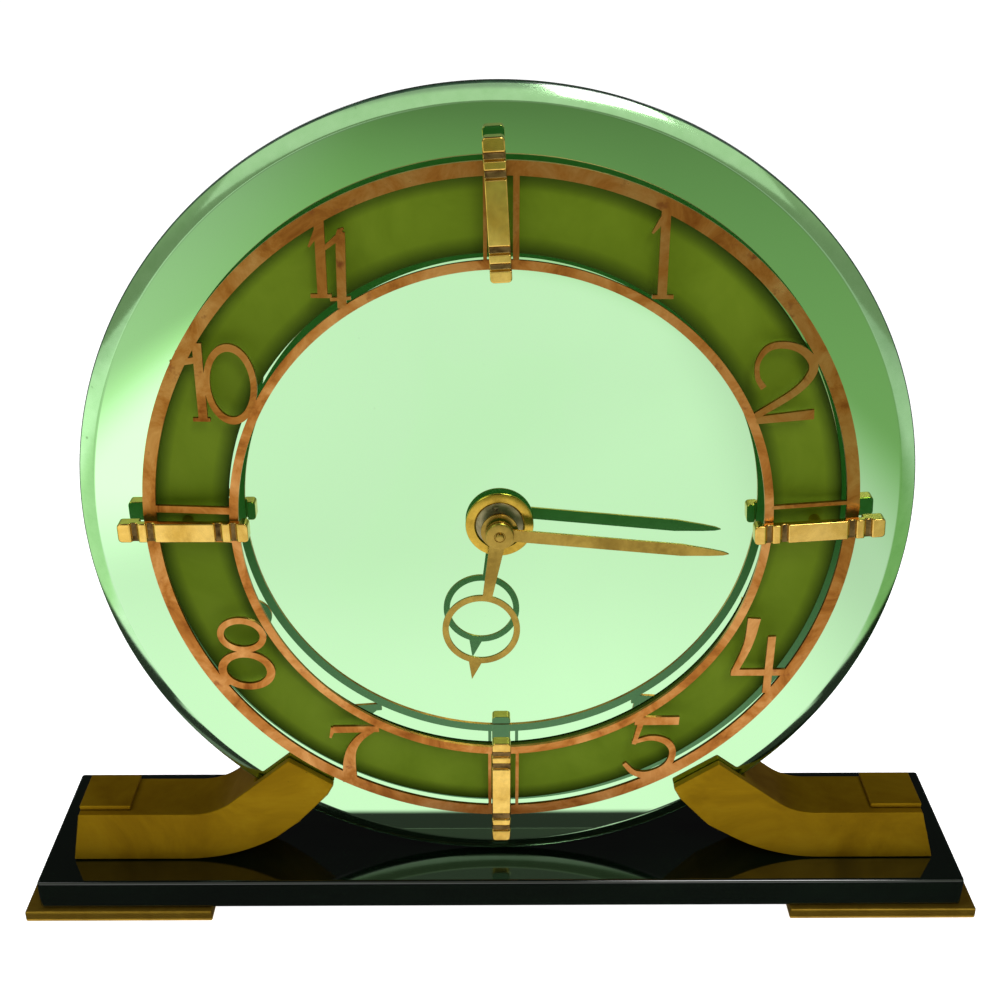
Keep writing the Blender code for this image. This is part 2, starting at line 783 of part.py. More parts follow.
def make_case():
    inner = CASE_RADIUS - CASE_WALL
    floor = CASE_FRONT - CASE_WALL
    drum = [
        (CASE_RADIUS - 0.8, CASE_FRONT),
        (CASE_RADIUS, CASE_FRONT - 0.8),
        (CASE_RADIUS, CASE_BACK),
        (inner, CASE_BACK),
        (inner, floor),
        (5.2, floor),
        (5.2, CASE_FRONT),
    ]
    place(turned("movement_case", drum, "movement_brass", 40), MOVEMENT)


def make_cover():
    slot = arc(BALANCE, REGULATOR_REACH + 1.3, REGULATOR_DEGREES - 24.0, REGULATOR_DEGREES + 24.0, 7)
    slot += arc(BALANCE, REGULATOR_REACH - 1.3, REGULATOR_DEGREES + 24.0, REGULATOR_DEGREES - 24.0, 7)
    outlines = [circle(CASE_RADIUS, 40), slot, circle(2.4, 16), circle(3.2, 16, BARREL)]
    outlines += [circle(PIVOT_HOLE + GAP, 10, at) for at in pillar_places()]
    place(flat("back_cover", outlines, COVER_BACK, COVER_FRONT, "movement_brass"), MOVEMENT)


def pillar_places():
    return [polar(CENTRE, PILLAR_CIRCLE, degrees) for degrees in PILLAR_DEGREES]


def make_pillars():
    top, bottom = FRONT_PLATE[1] - GAP, BACK_PLATE[0] + GAP
    bore = bottom + 4.0
    profile = [(0.0, top), (1.8, top), (1.8, bottom), (1.2, bottom), (1.2, bore), (0.0, bore)]
    head = COVER_BACK - GAP
    screw = [
        (0.0, bore - 0.5),
        (0.9, bore - 0.5),
        (0.9, head),
        (2.0, head),
        (2.0, head - 0.9),
        (0.0, head - 0.9),
    ]
    for index, at in enumerate(pillar_places(), 1):
        place(turned(f"pillar_{index}", profile, "movement_brass", 12), MOVEMENT, at)
        place(turned(f"cover_screw_{index}", screw, "steel", 12), MOVEMENT, at)


def make_plates():
    arbors = [THIRD, FOURTH, ESCAPE, PALLET, BALANCE]
    front_holes = [circle(PIVOT_HOLE, 10, at) for at in arbors + [MINUTE_WHEEL]]
    front_holes += [circle(ARBOR_RADIUS + GAP, 12), circle(1.6, 12, BARREL)]
    front = flat("front_plate", [circle(PLATE_RADIUS, 36)] + front_holes, FRONT_PLATE[1], FRONT_PLATE[0],
                 "movement_brass")
    back_holes = [circle(PIVOT_HOLE, 10, at) for at in arbors + [CLICK]]
    back_holes += [circle(ARBOR_RADIUS + GAP, 12), circle(1.6, 12, BARREL)]
    back_holes += [circle(PIVOT_HOLE + GAP, 10, at) for at in pillar_places()]
    back = flat("back_plate", [circle(PLATE_RADIUS, 36)] + back_holes, BACK_PLATE[1], BACK_PLATE[0],
                "movement_brass")
    place(front, MOVEMENT)
    place(back, MOVEMENT)


# ---------------------------------------------------------------- movement wheels

def wheel_set(name, at, arbor, layers, colour="movement_brass"):
    """An arbor, given as its turned profile, with flat layers of (outlines, low, high) joined to it."""
    body = turned(name, arbor, colour, 12)
    place(body, MOVEMENT, at)
    tools = []
    for index, (outlines, low, high) in enumerate(layers):
        tool = flat(f"{name}_layer_{index}", outlines, low, high, collection=CUTTERS)
        tools.append(place(tool, MOVEMENT, at))
    join(body, tools)


def pinned(low, high, middle=0.9, inner=FRONT_PLATE[1] - GAP, outer=BACK_PLATE[0] + GAP):
    """An arbor between the plates with a thin pivot at each end."""
    return [
        (0.0, high),
        (PIVOT, high),
        (PIVOT, inner),
        (middle, inner),
        (middle, outer),
        (PIVOT, outer),
        (PIVOT, low),
        (0.0, low),
    ]


def make_centre():
    """The hand arbor runs through the train's centre wheel, which turns on it with a light friction."""
    arbor_end = COVER_BACK - 1.9
    cannon = tube_profile(1.75, 1.25, -11.6, MINUTE_HAND_BACK - GAP)
    body = turned("cannon_pinion", cannon, "steel", 16)
    place(body, MOVEMENT)
    teeth = flat("cannon_teeth", [gear(CANNON_TEETH, MOTION_MODULE), circle(1.5, 16)], -11.5, -10.7,
                 collection=CUTTERS)
    join(body, [place(teeth, MOVEMENT)])
    arbor = rod_profile(ARBOR_RADIUS, arbor_end, MINUTE_HAND_BACK + 0.5)
    place(turned("centre_arbor", arbor, "steel", 16), MOVEMENT)
    hole = ARBOR_RADIUS + GAP
    sleeve = turned("centre_wheel", tube_profile(1.6, hole, -19.5, -13.6), "movement_brass", 16)
    place(sleeve, MOVEMENT)
    rim = CENTRE_TEETH * CENTRE_MODULE / 2 - 1.6
    wheel = flat("centre_rim", [gear(CENTRE_TEETH, CENTRE_MODULE), circle(1.4, 16)] + windows(3.0, rim, 4),
                 -15.5, -14.6, collection=CUTTERS)
    pinion = flat("centre_leaves", [gear(CENTRE_PINION, GREAT_MODULE), circle(1.42, 16)], -19.3, -17.0,
                  collection=CUTTERS)
    join(sleeve, [place(wheel, MOVEMENT), place(pinion, MOVEMENT)])
    knob_front, knob_back = COVER_BACK - 0.7, COVER_BACK - 5.2
    knob = turned("hand_set_knob", [
        (0.0, knob_front - 1.8),
        (1.3, knob_front - 1.8),
        (1.3, knob_front),
        (4.2, knob_front),
        (4.6, knob_front - 0.5),
        (4.6, knob_back + 0.5),
        (4.2, knob_back),
        (0.0, knob_back),
    ], "polished_brass", 24)
    place(knob, MOVEMENT)


def make_motion_work():
    direction = MINUTE_WHEEL_DEGREES
    minute_phase = meshed_phase(0.0, CANNON_TEETH, direction, MINUTE_TEETH)
    hour_phase = meshed_phase(0.0, MINUTE_PINION, direction + 180.0, HOUR_TEETH)
    arbor = rod_profile(PIVOT, FRONT_PLATE[1] - 0.2, -9.0)
    wheel_set("minute_wheel", MINUTE_WHEEL, arbor, [
        ([gear(MINUTE_TEETH, MOTION_MODULE, minute_phase)], -11.4, -10.8),
        ([gear(MINUTE_PINION, HOUR_MODULE)], -10.9, -9.1),
    ])
    pipe = turned("hour_wheel", tube_profile(2.9, 2.15, -10.3, HOUR_HAND_BACK - GAP), "movement_brass", 20)
    teeth = flat("hour_teeth", [gear(HOUR_TEETH, HOUR_MODULE, hour_phase), circle(2.5, 20)], -10.2, -9.4,
                 collection=CUTTERS)
    place(pipe, MOVEMENT)
    join(pipe, [place(teeth, MOVEMENT)])


def make_train():
    low, high = BACK_PLATE[1] - 0.2, FRONT_PLATE[0] + 0.2
    third_pinion = meshed_phase(0.0, CENTRE_TEETH, THIRD_DEGREES, THIRD_PINION)
    fourth_pinion = meshed_phase(0.0, THIRD_TEETH, FOURTH_DEGREES, FOURTH_PINION)
    escape_pinion = meshed_phase(0.0, FOURTH_TEETH, ESCAPE_DEGREES, ESCAPE_PINION)
    wheel_set("third_wheel", THIRD, pinned(low, high, 0.8), [
        ([gear(THIRD_PINION, CENTRE_MODULE, third_pinion)], -16.1, -14.0),
        ([gear(THIRD_TEETH, THIRD_MODULE)], -22.2, -21.3),
    ])
    wheel_set("fourth_wheel", FOURTH, pinned(low, high, 0.7), [
        ([gear(FOURTH_PINION, THIRD_MODULE, fourth_pinion)], -22.7, -20.8),
        ([gear(FOURTH_TEETH, FOURTH_MODULE)], -25.1, -24.2),
    ])
    wheel_set("escape_wheel", ESCAPE, pinned(low, high, 0.62), [
        ([gear(ESCAPE_PINION, FOURTH_MODULE, escape_pinion)], -25.5, -23.8),
        ([toothed(ESCAPE_TEETH, ESCAPE_RADIUS, 4.4, 0.0, 0.8)] + windows(1.6, 3.6, 3, 34.0), -21.5, -20.3),
    ], "steel")


def make_escapement():
    low, high = BACK_PLATE[1] - 0.2, FRONT_PLATE[0] + 0.2
    facing = math.radians(PALLET_DEGREES + 180.0)
    arms = ribbon([(3.1, -4.9, 1.0), (0.9, -3.6, 1.2), (-0.3, 0.0, 1.6), (0.9, 3.6, 1.2), (3.1, 4.9, 1.0)])
    fork = ribbon([(0.2, 0.0, 1.3), (-4.8, 0.0, 0.8)])

    def turn(outline):
        return [(x * math.cos(facing) - y * math.sin(facing), x * math.sin(facing) + y * math.cos(facing))
                for x, y in outline]

    wheel_set("pallet_lever", PALLET, pinned(low, high, 0.65), [
        ([turn(arms)], -21.5, -20.3),
        ([turn(fork)], -21.4, -20.4),
    ], "steel")
    rim = [circle(BALANCE_RADIUS, 24)] + windows(1.5, BALANCE_RADIUS - 1.0, 2, 30.0)
    wheel_set("balance_wheel", BALANCE, pinned(low, high, 0.65), [(rim, -24.6, -23.2)])


def spiral(inner, outer, turns, width, steps):
    route = []
    for index in range(int(turns * steps) + 1):
        along = index / (turns * steps)
        radius = inner + (outer - inner) * along
        x, y = polar(CENTRE, radius, 360.0 * index / steps)
        route.append((x, y, width))
    return ribbon(route)


def make_springs():
    main = flat("mainspring", [spiral(2.4, 9.6, 3.0, 0.45, 16)], -24.6, -19.2, "blued_steel")
    place(main, MOVEMENT, BARREL)
    hair = flat("hairspring", [spiral(1.2, 4.6, 3.0, 0.16, 16)], -26.4, -25.6, "blued_steel")
    place(hair, MOVEMENT, BALANCE)


def make_barrel():
    phase = meshed_phase(0.0, CENTRE_PINION, BARREL_DEGREES, GREAT_TEETH)
    floor_front, floor_back, rim = -17.3, -18.7, -25.3
    inner = BARREL_RADIUS - 0.8
    cup = [
        (BARREL_RADIUS, floor_front - 0.2),
        (BARREL_RADIUS, rim),
        (inner, rim),
        (inner, floor_back),
        (1.6, floor_back),
        (1.6, floor_front - 0.2),
    ]
    barrel = turned("mainspring_barrel", cup, "movement_brass", 28)
    teeth = flat("barrel_teeth", [gear(GREAT_TEETH, GREAT_MODULE, phase), circle(5.0, 16)], floor_back + 0.1,
                 floor_front, collection=CUTTERS)
    place(barrel, MOVEMENT, BARREL)
    join(barrel, [place(teeth, MOVEMENT, BARREL)])


def make_winding():
    arbor_end = COVER_BACK - 1.2
    arbor = [
        (0.0, FRONT_PLATE[0] + 0.2),
        (1.3, FRONT_PLATE[0] + 0.2),
        (1.3, arbor_end),
        (0.0, arbor_end),
    ]
    place(turned("barrel_arbor", arbor, "steel", 16), MOVEMENT, BARREL)
    ratchet = [toothed(RATCHET_TEETH, RATCHET_RADIUS, 5.0, 0.0, 0.85), circle(1.6, 16)]
    place(flat("ratchet_wheel", ratchet, -30.3, -29.2, "steel"), MOVEMENT, BARREL)
    key = turned("winding_key", [
        (0.0, -36.0),
        (1.6, -36.0),
        (1.6, -31.2),
        (2.7, -31.2),
        (2.7, -38.4),
        (0.0, -38.4),
    ], "polished_brass", 20)
    place(key, MOVEMENT, BARREL)
    stem = block("key_stem", (-5.2, 5.2), (-0.75, 0.75), (KEY_BACK + 1.6, -38.0), collection=CUTTERS)
    wings = []
    for side in (-1, 1):
        wing = turned(f"key_wing_{side}", rod_profile(3.3, -0.8, 0.8), steps=20, collection=CUTTERS)
        wing.parent = MOVEMENT
        wing.location = ((BARREL[0] + side * 5.4) * MM, BARREL[1] * MM, (KEY_BACK + 3.3) * MM)
        wing.rotation_euler = (QUARTER, 0.0, 0.0)
        wings.append(wing)
    join(key, [place(stem, MOVEMENT, BARREL)] + wings)


def make_click():
    toward = math.degrees(math.atan2(BARREL[1] - CLICK[1], BARREL[0] - CLICK[0]))
    nose = polar(CENTRE, 3.7, toward)
    tail = polar(CENTRE, 2.6, toward + 150.0)
    body = ribbon([(nose[0], nose[1], 0.8), (0.0, 0.0, 2.6), (tail[0], tail[1], 1.2)])
    pin = rod_profile(PIVOT, -30.6, BACK_PLATE[0] + 0.1)
    wheel_set("click", CLICK, pin, [([body], -30.3, -29.2)], "steel")


def make_click_spring():
    """A bent wire whose root is pinned to the back plate and whose end rests near the click's tail."""
    root = (CLICK[0] + 1.0, CLICK[1] - 10.0)
    outline = ribbon([
        (root[0], root[1], 2.2),
        (root[0] + 2.2, root[1] + 2.5, 0.6),
        (CLICK[0] + 4.6, CLICK[1] - 1.5, 0.6),
        (CLICK[0] + 4.2, CLICK[1] + 1.5, 0.6),
    ])
    place(flat("click_spring", [outline], -30.0, -29.2, "blued_steel"), MOVEMENT)


def make_regulator():
    tip = polar(CENTRE, REGULATOR_REACH, REGULATOR_DEGREES)
    ring = circle(2.4, 20)
    arm_start = polar(CENTRE, 1.9, REGULATOR_DEGREES)
    lever = flat("regulator_lever", [ring, circle(1.2, 12)], -30.0, -29.2, "steel")
    place(lever, MOVEMENT, BALANCE)
    arm_outline = ribbon([(*arm_start, 1.4), (*tip, 1.4)])
    arm = flat("regulator_arm", [arm_outline], -29.95, -29.25, collection=CUTTERS)
    place(arm, MOVEMENT, BALANCE)
    tab_place = polar(BALANCE, REGULATOR_REACH - 0.5, REGULATOR_DEGREES)
    tab = drill("regulator_tab", 0.75, -36.2, -29.5, MOVEMENT, tab_place, 10)
    join(lever, [arm, tab])


def smooth_round_parts():
    for obj in PARTS.objects:
        if obj.type == "MESH" and obj.data.polygons:
            obj.data.shade_smooth()
            obj.data.set_sharp_from_angle(angle=math.radians(30.0))


def main():
    make_base()
    for word, side in (("left", -1), ("right", 1)):
        make_foot(f"foot_plate_{word}", side)
        make_bracket(f"bracket_{word}", side)
        make_pad(f"bracket_pad_{word}", side)
    make_bracket_bolts()
    make_mirror()
    dial_sheet("dial_band", BAND_OUTER, circle(BAND_INNER, 52), GAP, GAP + 0.4, "olive_band")
    board_front = -MIRROR_THICKNESS - GAP
    hub_hole = circle(HUB_HOLE, 20, from_mirror(HUB_SHIFT))
    dial_sheet("backing_board", BOARD_RADIUS, hub_hole, board_front - BOARD_THICKNESS, board_front, "board")
    make_chapter_ring()
    for hour, (direction, lean) in CLAMPS.items():
        make_clamp(hour, direction, lean)
        make_clamp_nut(hour, direction)
    make_hub()
    make_hands()
    make_case()
    make_cover()
    make_pillars()
    make_plates()
    make_centre()
    make_motion_work()
    make_train()
    make_escapement()
    make_springs()
    make_barrel()
    make_winding()
    make_click()
    make_click_spring()
    make_regulator()
    smooth_round_parts()


main()
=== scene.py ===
"""The finished looks of an Art Deco mantel clock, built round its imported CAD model.

Lengths are in millimetres and are turned into metres by MM. Dial pieces are modelled in the dial's own frame:
u to the right, v up and w out of the mirror's face towards the viewer. Places come from the CAD nodes' boxes.
"""

import math

import bmesh
import bpy
from mathutils import Matrix, Vector


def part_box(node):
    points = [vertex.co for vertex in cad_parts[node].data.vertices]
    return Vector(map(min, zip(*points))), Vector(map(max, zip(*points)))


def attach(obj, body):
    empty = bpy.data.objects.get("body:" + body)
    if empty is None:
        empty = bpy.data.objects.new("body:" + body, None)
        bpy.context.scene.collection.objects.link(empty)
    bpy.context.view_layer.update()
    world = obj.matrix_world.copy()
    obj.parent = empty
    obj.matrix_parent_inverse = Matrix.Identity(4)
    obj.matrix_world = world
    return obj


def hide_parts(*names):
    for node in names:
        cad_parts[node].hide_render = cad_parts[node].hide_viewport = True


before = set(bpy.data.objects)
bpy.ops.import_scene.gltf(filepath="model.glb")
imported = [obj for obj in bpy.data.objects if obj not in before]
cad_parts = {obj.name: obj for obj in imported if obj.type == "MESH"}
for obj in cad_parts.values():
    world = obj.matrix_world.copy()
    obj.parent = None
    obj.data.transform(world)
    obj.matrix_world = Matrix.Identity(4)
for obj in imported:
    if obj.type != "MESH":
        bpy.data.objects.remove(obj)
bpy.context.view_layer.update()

MM = 0.001
GAP = 0.3
QUARTER = math.pi / 2
FULL = 2 * math.pi
FRAME_BODY = "clock_frame"


# ---------------------------------------------------------------- places read from the CAD nodes

def centre_of(node):
    low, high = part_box(node)
    return (low + high) / 2


FACE_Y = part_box("mirror_disc")[0].y


def span(node):
    """A node's back and front, in millimetres out of the mirror's face."""
    low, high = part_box(node)
    return (FACE_Y - high.y) / MM, (FACE_Y - low.y) / MM


def radius_of(node):
    low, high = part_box(node)
    return (high.x - low.x) / 2 / MM


def limits(node):
    """A node's box in millimetres: its x, y and z limits."""
    low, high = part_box(node)
    return [(low[axis] / MM, high[axis] / MM) for axis in range(3)]


def dial_matrix(centre, turn=0.0):
    """Stands a piece's local XY plane upright on the mirror's face at a centre, turned anticlockwise."""
    upright = Matrix.Rotation(QUARTER, 4, "X") @ Matrix.Rotation(turn, 4, "Z")
    return Matrix.Translation((centre.x, FACE_Y, centre.z)) @ upright


HUB = centre_of("hand_nut")
DIAL = centre_of("chapter_ring")
MIRROR = centre_of("mirror_disc")
SLAB = limits("base_slab")
SLAB_TOP = SLAB[2][1]


# ---------------------------------------------------------------- material helpers

class Look:
    """A material under construction, with short calls for the nodes that the finishes share."""

    def __init__(self, name, colour, roughness, metallic=0.0, **sockets):
        self.material = bpy.data.materials.new(name)
        self.material.use_nodes = True
        self.tree = self.material.node_tree
        self.shader = self.tree.nodes["Principled BSDF"]
        self.shader.inputs["Base Color"].default_value = (*colour, 1.0)
        self.shader.inputs["Roughness"].default_value = roughness
        self.shader.inputs["Metallic"].default_value = metallic
        for socket, value in sockets.items():
            self.shader.inputs[socket.replace("_", " ")].default_value = value
        self.place = self.tree.nodes.new("ShaderNodeTexCoord").outputs["Object"]

    def node(self, kind, **inputs):
        made = self.tree.nodes.new(kind)
        for name, value in inputs.items():
            socket = made.inputs[name.replace("_", " ")]
            if isinstance(value, bpy.types.NodeSocket):
                self.tree.links.new(value, socket)
            else:
                socket.default_value = value
        return made

    def stretched(self, scale):
        """Object coordinates scaled along each axis, for grain that runs one way."""
        return self.node("ShaderNodeMapping", Vector=self.place, Scale=scale).outputs["Vector"]

    def noise(self, scale, detail=3.0, roughness=0.55, distortion=0.0, vector=None):
        made = self.node("ShaderNodeTexNoise", Scale=scale, Detail=detail, Roughness=roughness,
                         Distortion=distortion, Vector=vector or self.place)
        return made.outputs["Fac"]

    def ramp(self, factor, *stops):
        """A colour ramp through (position, colour) stops; a single number stands for a grey."""
        made = self.node("ShaderNodeValToRGB", Fac=factor)
        elements = made.color_ramp.elements
        while len(elements) < len(stops):
            elements.new(1.0)
        for element, (position, colour) in zip(elements, stops):
            element.position = position
            element.color = (*colour, 1.0) if isinstance(colour, tuple) else (colour, colour, colour, 1.0)
        return made.outputs["Color"]

    def between(self, value, low, high, to_low=0.0, to_high=1.0):
        """to_low where value is low, to_high where it is high, and a straight line between them."""
        made = self.node("ShaderNodeMapRange", Value=value)
        for name, number in (("From Min", low), ("From Max", high), ("To Min", to_low), ("To Max", to_high)):
            made.inputs[name].default_value = number
        return made.outputs["Result"]

    def soft(self, value, low, high, to_low, to_high):
        """The same as between, with a smooth start and end."""
        result = self.between(value, low, high, to_low, to_high)
        result.node.interpolation_type = "SMOOTHSTEP"
        return result

    def mix(self, factor, first, second, blend="MIX"):
        made = self.tree.nodes.new("ShaderNodeMix")
        made.data_type = "RGBA"
        made.blend_type = blend
        for index, value in ((0, factor), (6, first), (7, second)):
            if isinstance(value, bpy.types.NodeSocket):
                self.tree.links.new(value, made.inputs[index])
            else:
                made.inputs[index].default_value = (*value, 1.0) if isinstance(value, tuple) else value
        return made.outputs[2]

    def math(self, operation, first, second=0.0):
        made = self.tree.nodes.new("ShaderNodeMath")
        made.operation = operation
        for socket, value in zip(made.inputs, (first, second)):
            if isinstance(value, bpy.types.NodeSocket):
                self.tree.links.new(value, socket)
            else:
                socket.default_value = value
        return made.outputs[0]

    def total(self, first, *others):
        for other in others:
            first = self.math("ADD", first, other)
        return first

    def product(self, first, second):
        return self.math("MULTIPLY", first, second)

    def rest_of(self, share):
        return self.math("SUBTRACT", 1.0, share)

    def radius(self, centre):
        """Distance from an axis through centre, square to the dial, in metres."""
        offset = self.node("ShaderNodeVectorMath", Vector=self.place)
        offset.operation = "SUBTRACT"
        offset.inputs[1].default_value = centre
        flat = self.node("ShaderNodeVectorMath", Vector=offset.outputs[0])
        flat.operation = "MULTIPLY"
        flat.inputs[1].default_value = (1.0, 0.0, 1.0)
        length = self.node("ShaderNodeVectorMath", Vector=flat.outputs[0])
        length.operation = "LENGTH"
        return length.outputs["Value"]

    def along(self, axis):
        """Place along one axis, in metres."""
        return self.node("ShaderNodeSeparateXYZ", Vector=self.place).outputs[axis]

    def colour(self, socket):
        self.tree.links.new(socket, self.shader.inputs["Base Color"])

    def rough(self, socket):
        self.tree.links.new(socket, self.shader.inputs["Roughness"])

    def bump(self, height, strength, distance):
        """Relief from a 0 to 1 height, with distance in millimetres."""
        made = self.node("ShaderNodeBump", Height=height, Strength=strength, Distance=distance * MM)
        self.tree.links.new(made.outputs["Normal"], self.shader.inputs["Normal"])

    def glow(self, colour, strength=1.0):
        """Light given off: each of the two is a plain value or a socket."""
        for name, value in (("Emission Color", colour), ("Emission Strength", strength)):
            if isinstance(value, bpy.types.NodeSocket):
                self.tree.links.new(value, self.shader.inputs[name])
            else:
                self.shader.inputs[name].default_value = (*value, 1.0) if isinstance(value, tuple) else value


def metal(name, bright, dull, roughness, patch=60.0, grain=(900.0, 900.0, 900.0), bump=0.12):
    """A metal with cloudy tarnish, fine grain and small changes of polish."""
    look = Look(name, bright, roughness, 1.0)
    cloud = look.noise(patch, 5.0, 0.62, 0.4)
    fine = look.noise(1.0, 2.0, 0.5, 0.0, look.stretched(grain))
    colour = look.ramp(cloud, (0.32, dull), (0.58, bright))
    speck = look.between(fine, 0.25, 0.75, 0.86, 1.06)
    look.colour(look.mix(1.0, colour, look.ramp(speck, (0.0, 0.0), (1.0, 1.0)), "MULTIPLY"))
    look.rough(look.between(cloud, 0.3, 0.7, roughness * 1.25, roughness * 0.8))
    look.bump(fine, bump, 0.05)
    return look.material


# ---------------------------------------------------------------- materials

def mirror_green():
    look = Look("mirror_green", (0.50, 0.84, 0.46), 0.02, 1.0, Coat_Weight=0.25, Coat_Roughness=0.01)
    veil = look.noise(9.0, 3.0, 0.5, 0.6)
    spots = look.noise(500.0, 2.0, 0.5)
    clean = look.ramp(veil, (0.30, (0.485, 0.82, 0.445)), (0.70, (0.515, 0.86, 0.475)))
    look.colour(look.mix(look.between(spots, 0.79, 0.86, 0.0, 0.5), clean, (0.30, 0.50, 0.26)))
    look.rough(look.between(veil, 0.3, 0.7, 0.012, 0.035))
    look.bump(veil, 0.02, 1.0)
    return look.material


def ground_glass():
    """The mirror's ground bevel: the same silvered glass seen through a sloping face."""
    look = Look("ground_glass", (0.46, 0.78, 0.42), 0.10, 1.0, Coat_Weight=0.5, Coat_Roughness=0.03)
    chips = look.noise(260.0, 2.0, 0.6)
    stops = (0.20, (0.16, 0.28, 0.12)), (0.27, (0.42, 0.74, 0.38)), (0.8, (0.50, 0.82, 0.46))
    look.colour(look.ramp(chips, *stops))
    look.bump(chips, 0.05, 0.2)
    return look.material


def glass_edge():
    look = Look("glass_edge", (0.02, 0.07, 0.03), 0.12, 0.0, Coat_Weight=0.8, Coat_Roughness=0.05, IOR=1.52)
    wave = look.noise(300.0, 3.0, 0.6)
    look.colour(look.ramp(wave, (0.3, (0.010, 0.040, 0.016)), (0.7, (0.035, 0.105, 0.045))))
    look.bump(wave, 0.15, 0.08)
    return look.material


def olive_paint():
    """Matt olive paint behind the openwork, with painted shade along both of its rims where the copper ring
    shades it.
    """
    look = Look("olive_paint", (0.10, 0.16, 0.004), 0.62, 0.0, Specular_IOR_Level=0.06)
    middle = (BAND_INNER + BAND_OUTER) / 2 * MM
    half = (BAND_OUTER - BAND_INNER) / 2 * MM
    # Painted shade: the paint turns darker towards both rims, where the openwork ring shades it.
    away = look.math("ABSOLUTE", look.math("SUBTRACT", look.radius(MIRROR), middle))
    shade = look.between(away, half * 0.55, half)
    cloud = look.noise(45.0, 4.0, 0.6, 0.5)
    paint = look.ramp(cloud, (0.3, (0.092, 0.148, 0.003)), (0.7, (0.124, 0.190, 0.007)))
    look.colour(look.mix(shade, paint, (0.022, 0.044, 0.001)))
    fine = look.noise(1600.0, 2.0, 0.5)
    look.rough(look.between(cloud, 0.3, 0.7, 0.68, 0.52))
    look.bump(fine, 0.10, 0.05)
    return look.material


def copper():
    look = Look("tarnished_copper", (0.53, 0.245, 0.09), 0.32, 1.0)
    cloud = look.noise(75.0, 6.0, 0.68, 0.8)
    stain = look.noise(240.0, 4.0, 0.6)
    fine = look.noise(2400.0, 2.0, 0.5)
    stops = (0.30, (0.23, 0.066, 0.010)), (0.46, (0.44, 0.165, 0.032)), (0.72, (0.68, 0.34, 0.11))
    body = look.ramp(cloud, *stops)
    look.colour(look.mix(look.between(stain, 0.62, 0.76), body, (0.26, 0.075, 0.022)))
    look.rough(look.between(cloud, 0.3, 0.7, 0.42, 0.26))
    look.bump(fine, 0.12, 0.04)
    return look.material


def clamp_brass():
    grain = (500.0, 500.0, 500.0)
    return metal("clamp_brass", (0.80, 0.53, 0.13), (0.58, 0.35, 0.06), 0.16, 90.0, grain, 0.06)


def groove_brown():
    return metal("groove_brown", (0.20, 0.125, 0.045), (0.05, 0.026, 0.008), 0.40, 320.0)


def dull_back_painted_glow():
    """The unpolished backs of the dial pieces, with a painted glow, brighter and paler lower down, that
    stands in for the light that the mirror returns.
    """
    look = Look("dull_back_painted_glow", (0.07, 0.09, 0.07), 0.6, 0.6)
    cloud = look.noise(150.0, 4.0, 0.6)
    look.colour(look.ramp(cloud, (0.3, (0.05, 0.065, 0.05)), (0.7, (0.085, 0.105, 0.085))))
    # Painted glow: brighter and paler towards the bottom, standing in for light returned by the mirror.
    low = look.between(look.along("Z"), 0.040, 0.125, 1.0, 0.0)
    look.glow(look.mix(low, (0.012, 0.060, 0.008), (0.19, 0.25, 0.21)))
    return look.material


def hand_brass():
    return metal("hand_brass", (0.42, 0.28, 0.055), (0.30, 0.19, 0.035), 0.34, 120.0)


def collar_brass():
    return metal("collar_brass", (0.62, 0.40, 0.055), (0.42, 0.26, 0.03), 0.24, 160.0)


def bush_brass():
    return metal("bush_brass", (0.36, 0.31, 0.17), (0.20, 0.17, 0.085), 0.38, 220.0)


def bracket_brass():
    """Satin brass with an old brown lacquer, brushed along the arm."""
    look = Look("bracket_brass", (0.34, 0.20, 0.012), 0.42, 0.55, Specular_IOR_Level=0.1,
                Specular_Tint=(0.42, 0.28, 0.02, 1.0))
    cloud = look.noise(38.0, 6.0, 0.62, 0.7)
    brushed = look.noise(1.0, 3.0, 0.55, 0.0, look.stretched((180.0, 500.0, 1800.0)))
    stain = look.noise(420.0, 3.0, 0.6)
    stops = (0.30, (0.19, 0.100, 0.003)), (0.52, (0.28, 0.162, 0.005)), (0.75, (0.37, 0.225, 0.010))
    body = look.ramp(cloud, *stops)
    body = look.mix(look.between(brushed, 0.2, 0.8, 0.0, 0.22), body, (0.19, 0.10, 0.004))
    look.colour(look.mix(look.between(stain, 0.72, 0.80), body, (0.08, 0.042, 0.006)))
    look.rough(look.between(cloud, 0.3, 0.7, 0.54, 0.40))
    look.bump(brushed, 0.07, 0.06)
    return look.material


def foot_brass():
    look = Look("foot_brass", (0.30, 0.19, 0.02), 0.4, 0.75, Specular_IOR_Level=0.15)
    cloud = look.noise(70.0, 5.0, 0.65, 0.5)
    brushed = look.noise(1.0, 3.0, 0.6, 0.0, look.stretched((60.0, 1500.0, 1500.0)))
    body = look.ramp(cloud, (0.3, (0.20, 0.115, 0.008)), (0.72, (0.38, 0.235, 0.025)))
    look.colour(look.mix(look.between(brushed, 0.2, 0.8, 0.0, 0.3), body, (0.13, 0.072, 0.006)))
    look.rough(look.between(cloud, 0.3, 0.7, 0.5, 0.34))
    look.bump(brushed, 0.10, 0.05)
    return look.material


def black_slab():
    """Polished black glass-like stone with a faint green cast and hairline marks."""
    look = Look("black_slab", (0.0016, 0.0042, 0.002), 0.06, 0.0, IOR=1.75)
    cloud = look.noise(16.0, 5.0, 0.6, 0.6)
    dust = look.noise(1400.0, 2.0, 0.5)
    body = look.ramp(cloud, (0.35, (0.0008, 0.0022, 0.0010)), (0.7, (0.0020, 0.0055, 0.0024)))
    look.colour(look.mix(look.between(dust, 0.74, 0.80, 0.0, 0.5), body, (0.02, 0.025, 0.02)))
    look.rough(look.between(cloud, 0.3, 0.7, 0.10, 0.045))
    look.bump(look.noise(30.0, 2.0), 0.02, 0.5)
    return look.material


